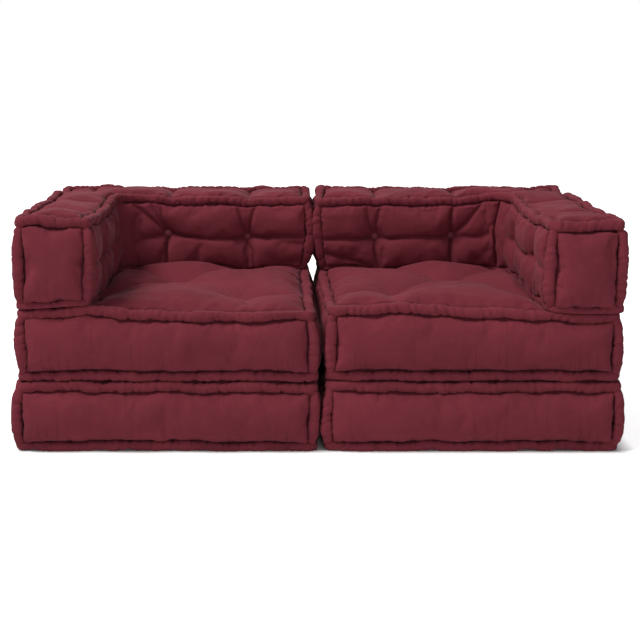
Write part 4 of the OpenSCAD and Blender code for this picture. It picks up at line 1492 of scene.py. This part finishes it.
def makeButtonTree():
    tree, start, end = newTree("buttons", "GeometryNodeTree", [
        ("Seats", "NodeSocketGeometry", None),
        ("Button", "NodeSocketObject", None),
        ("Spin Seed", "NodeSocketInt", 0),
        ("Cloth", "NodeSocketMaterial", None),
    ], [("Buttons", "NodeSocketGeometry")])
    value = start.outputs
    facing = attribute(tree, "facing", "FLOAT_VECTOR")
    turned = addNode(tree, "FunctionNodeAlignRotationToVector", {"Vector": facing}, axis="Z")
    spin = addNode(tree, "FunctionNodeRandomValue",
                   {"Min": (-0.05, -0.05, 0.0), "Max": (0.05, 0.05, 6.28), "Seed": value["Spin Seed"]},
                   data_type="FLOAT_VECTOR")
    both = addNode(tree, "FunctionNodeRotateRotation",
                   {"Rotation": turned.outputs[0], "Rotate By": spin.outputs[0]}, rotation_space="LOCAL")
    shape = addNode(tree, "GeometryNodeObjectInfo", {"Object": value["Button"]})
    placed = addNode(tree, "GeometryNodeInstanceOnPoints",
                     {"Points": value["Seats"], "Instance": shape.outputs["Geometry"],
                      "Rotation": both.outputs[0]})
    dress(tree, placed.outputs[0], value["Cloth"], end.inputs["Buttons"])
    return tree


def makeButtons(hand, cushion, tree, shape, cloth):
    seats = buttonSeats(cushion)
    # a button goes where the cover round it went
    spots = settle(np.array([seat for seat, way in seats], float), cushion, hand)
    name = pieceName(hand, cushion, "Buttons")
    mesh = bpy.data.meshes.new(name)
    mesh.from_pydata(toGlobal(spots, cushion["level"], hand).tolist(), [], [])
    ways = np.array([way for seat, way in seats], float) * [hands[hand]["side"], 1, 1]
    setVectors(mesh, "facing", ways)
    values = {"Button": shape, "Spin Seed": cushion["seed"], "Cloth": cloth}
    return runTree(addObject(name, mesh), tree, values)


# How much smaller a filling is than its cover, the cells of its mesh, and how uneven it is.
stuffing = {"inset": 0.010, "cell": 0.035, "cellHeight": 0.03, "uneven": 0.0015, "size": 0.12}


def makeFilling(hand, cushion, cloth):
    # what fills the cover: a soft block a little smaller than it, uneven on its top and underside
    inset, cell = module["seamInset"] + stuffing["inset"], stuffing["cell"]
    ex, ey = module["halfWidth"] - inset, module["halfDepth"] - inset
    zs = spaced([inset, cushion["height"] / 2, cushion["height"] - inset], stuffing["cellHeight"])
    notch = None
    xs, ys = spaced([-ex, 0, ex], cell), spaced([-ey, 0, ey], cell)
    if cushion["kind"] == "corner":
        nx, ny = armFace - inset, backFace + inset
        xs, ys = spaced([-ex, nx, ex], cell), spaced([-ey, ny, ey], cell)
        notch = (int(np.argmin(abs(xs - nx))), int(np.argmin(abs(ys - ny))))
    places, quads = shell(xs, ys, zs, notch)
    middle = cushion["height"] / 2
    reach = np.abs(places[:, 2] - middle) / (middle - inset)
    lumps = stuffing["uneven"] * waves(places, stuffing["size"], 70 + cushion["seed"])
    places[:, 2] += lumps * (reach > 0.99)
    obj = makeMesh(pieceName(hand, cushion, "Filling"), toGlobal(places, cushion["level"], hand), quads,
                   hands[hand]["side"] < 0)
    smoothCloth(obj).materials.append(cloth)
    return obj


# What lies inside: fluffy cotton, and twine twisted from dyed yarn.
wadding = {"colours": ((0.62, 0.56, 0.45, 1), (0.86, 0.82, 0.72, 1)), "roughness": 0.95,
           "bump": 0.6, "bumpHeight": 0.004}
yarn = {"colours": ((0.055, 0.010, 0.015, 1), (0.105, 0.022, 0.030, 1)), "roughness": 0.85,
        "bump": 0.5, "bumpHeight": 0.0003}


def makeInside(name, look, pattern, values, **settings):
    # two tones and a relief that follow one pattern
    material, tree, shader = newMaterial(name)
    place = addNode(tree, "ShaderNodeTexCoord")
    grain = addNode(tree, pattern, {"Vector": place.outputs["Object"], **values}, **settings).outputs["Fac"]
    shade = addNode(tree, "ShaderNodeMixRGB", {"Fac": grain, "Color1": look["colours"][0],
                                               "Color2": look["colours"][1]})
    relief = addNode(tree, "ShaderNodeBump", {"Height": grain, "Strength": look["bump"],
                                              "Distance": look["bumpHeight"]})
    tree.links.new(shade.outputs[0], shader["Base Color"])
    tree.links.new(relief.outputs[0], shader["Normal"])
    shader["Roughness"].default_value = look["roughness"]
    return material


buttonTree = makeButtonTree()
buttonShape = makeButtonShape()
cottonFilling = makeInside("cottonFilling", wadding, "ShaderNodeTexNoise",
                           {"Scale": 90.0, "Detail": 6.0, "Roughness": 0.7})
twineYarn = makeInside("twineYarn", yarn, "ShaderNodeTexWave", {"Scale": 220.0, "Distortion": 1.5},
                       bands_direction="DIAGONAL")
for hand in hands:
    for cushion in cushions.values():
        body = hand + "_" + cushion["name"]
        buttons = makeButtons(hand, cushion, buttonTree, buttonShape, buttonCotton)
        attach(buttons, body)
        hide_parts(body + "_buttons")
        filling = makeFilling(hand, cushion, cottonFilling)
        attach(filling, body)
        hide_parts(body + "_filling")
        if cushion["kind"] == "corner":
            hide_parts(hand + "_arm_filling")
        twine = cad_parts[body + "_twine"]
        twine.data.materials.clear()
        twine.data.materials.append(twineYarn)
bpy.data.objects.remove(buttonShape)
print("buttons tied, with their twine and the filling")

# The camera stands in front, a little left of the middle, and looks slightly down.
view = {
    "place": (-0.1093, -3.1235, 0.9478),
    "pitch": 0.1584,
    "lens": 68.81, "shiftX": 0.0742, "shiftY": -0.125,   # as much as the photograph was cropped
}
camera = addObject("camera", bpy.data.cameras.new("camera"))
camera.data.sensor_width = 36
camera.data.lens = view["lens"]
camera.data.shift_x, camera.data.shift_y = view["shiftX"], view["shiftY"]
camera.location = view["place"]
camera.rotation_euler = (math.pi / 2 - view["pitch"], 0, 0)
scene.camera = camera

# A large lamp high on the left, a low one in front and one behind. All point at the sofa's middle.
aim = Vector((0, 0, 0.25))
lamps = {
    "key": {"place": (-4.6, -1.9, 7.8), "size": 3.2, "power": 770},
    "front": {"place": (0.8, -4.2, 0.9), "size": 2.4, "power": 42},
    "rear": {"place": (-0.6, 4.4, 3.2), "size": 2.4, "power": 52},
}
for name, lamp in lamps.items():
    light = bpy.data.lights.new(name, "AREA")
    light.size = lamp["size"]
    light.energy = lamp["power"]
    obj = addObject(name, light)
    obj.location = lamp["place"]
    obj.rotation_euler = (aim - Vector(lamp["place"])).to_track_quat("-Z", "Y").to_euler()

# The room lights the sofa softly, and shows white behind it. The floor glows only for the camera,
# and not under the sofa or close to it, where its shadow lies.
room = {"light": 0.18, "background": 1.0}
paleFloor = {"colour": (0.86, 0.86, 0.86, 1), "roughness": 0.9, "glow": 0.8, "fade": 0.05}

world = bpy.data.worlds.new("studio")
world.use_nodes = True
scene.world = world
sky = world.node_tree
sky.nodes.clear()
path = addNode(sky, "ShaderNodeLightPath")
seen = math1(sky, "MAXIMUM", path.outputs["Is Camera Ray"], math1(
    sky, "MAXIMUM", path.outputs["Is Glossy Ray"], path.outputs["Is Transmission Ray"]))
roomLight = addNode(sky, "ShaderNodeBackground", {"Color": (1, 1, 1, 1), "Strength": room["light"]})
white = addNode(sky, "ShaderNodeBackground", {"Color": (1, 1, 1, 1), "Strength": room["background"]})
either = addNode(sky, "ShaderNodeMixShader", {0: seen, 1: roomLight.outputs[0], 2: white.outputs[0]})
addNode(sky, "ShaderNodeOutputWorld", {"Surface": either.outputs[0]})


def makeFloor():
    mesh = bpy.data.meshes.new("floor")
    mesh.from_pydata([(-9, -6, 0), (9, -6, 0), (9, 12, 0), (-9, 12, 0)], [], [(0, 1, 2, 3)])
    floor = addObject("floor", mesh)
    material, tree, shader = newMaterial("paleFloor")
    shader["Base Color"].default_value = paleFloor["colour"]
    shader["Roughness"].default_value = paleFloor["roughness"]
    shader["Specular IOR Level"].default_value = 0.0
    path = addNode(tree, "ShaderNodeLightPath")
    where = addNode(tree, "ShaderNodeTexCoord").outputs["Object"]
    place = addNode(tree, "ShaderNodeSeparateXYZ", {0: where})
    beside, before = [math1(tree, "SUBTRACT", math1(tree, "ABSOLUTE", place.outputs[axis]),
                            cadBox[1][axis] - 0.01) for axis in (0, 1)]
    clear = clamped(tree, math1(tree, "DIVIDE", math1(tree, "MAXIMUM", beside, before), paleFloor["fade"]))
    glow = times(tree, times(tree, path.outputs["Is Camera Ray"], clear), paleFloor["glow"])
    shader["Emission Color"].default_value = (1, 1, 1, 1)
    tree.links.new(glow, shader["Emission Strength"])
    mesh.materials.append(material)


makeFloor()
scene.view_settings.view_transform = "Standard"
print("camera, light and floor set")
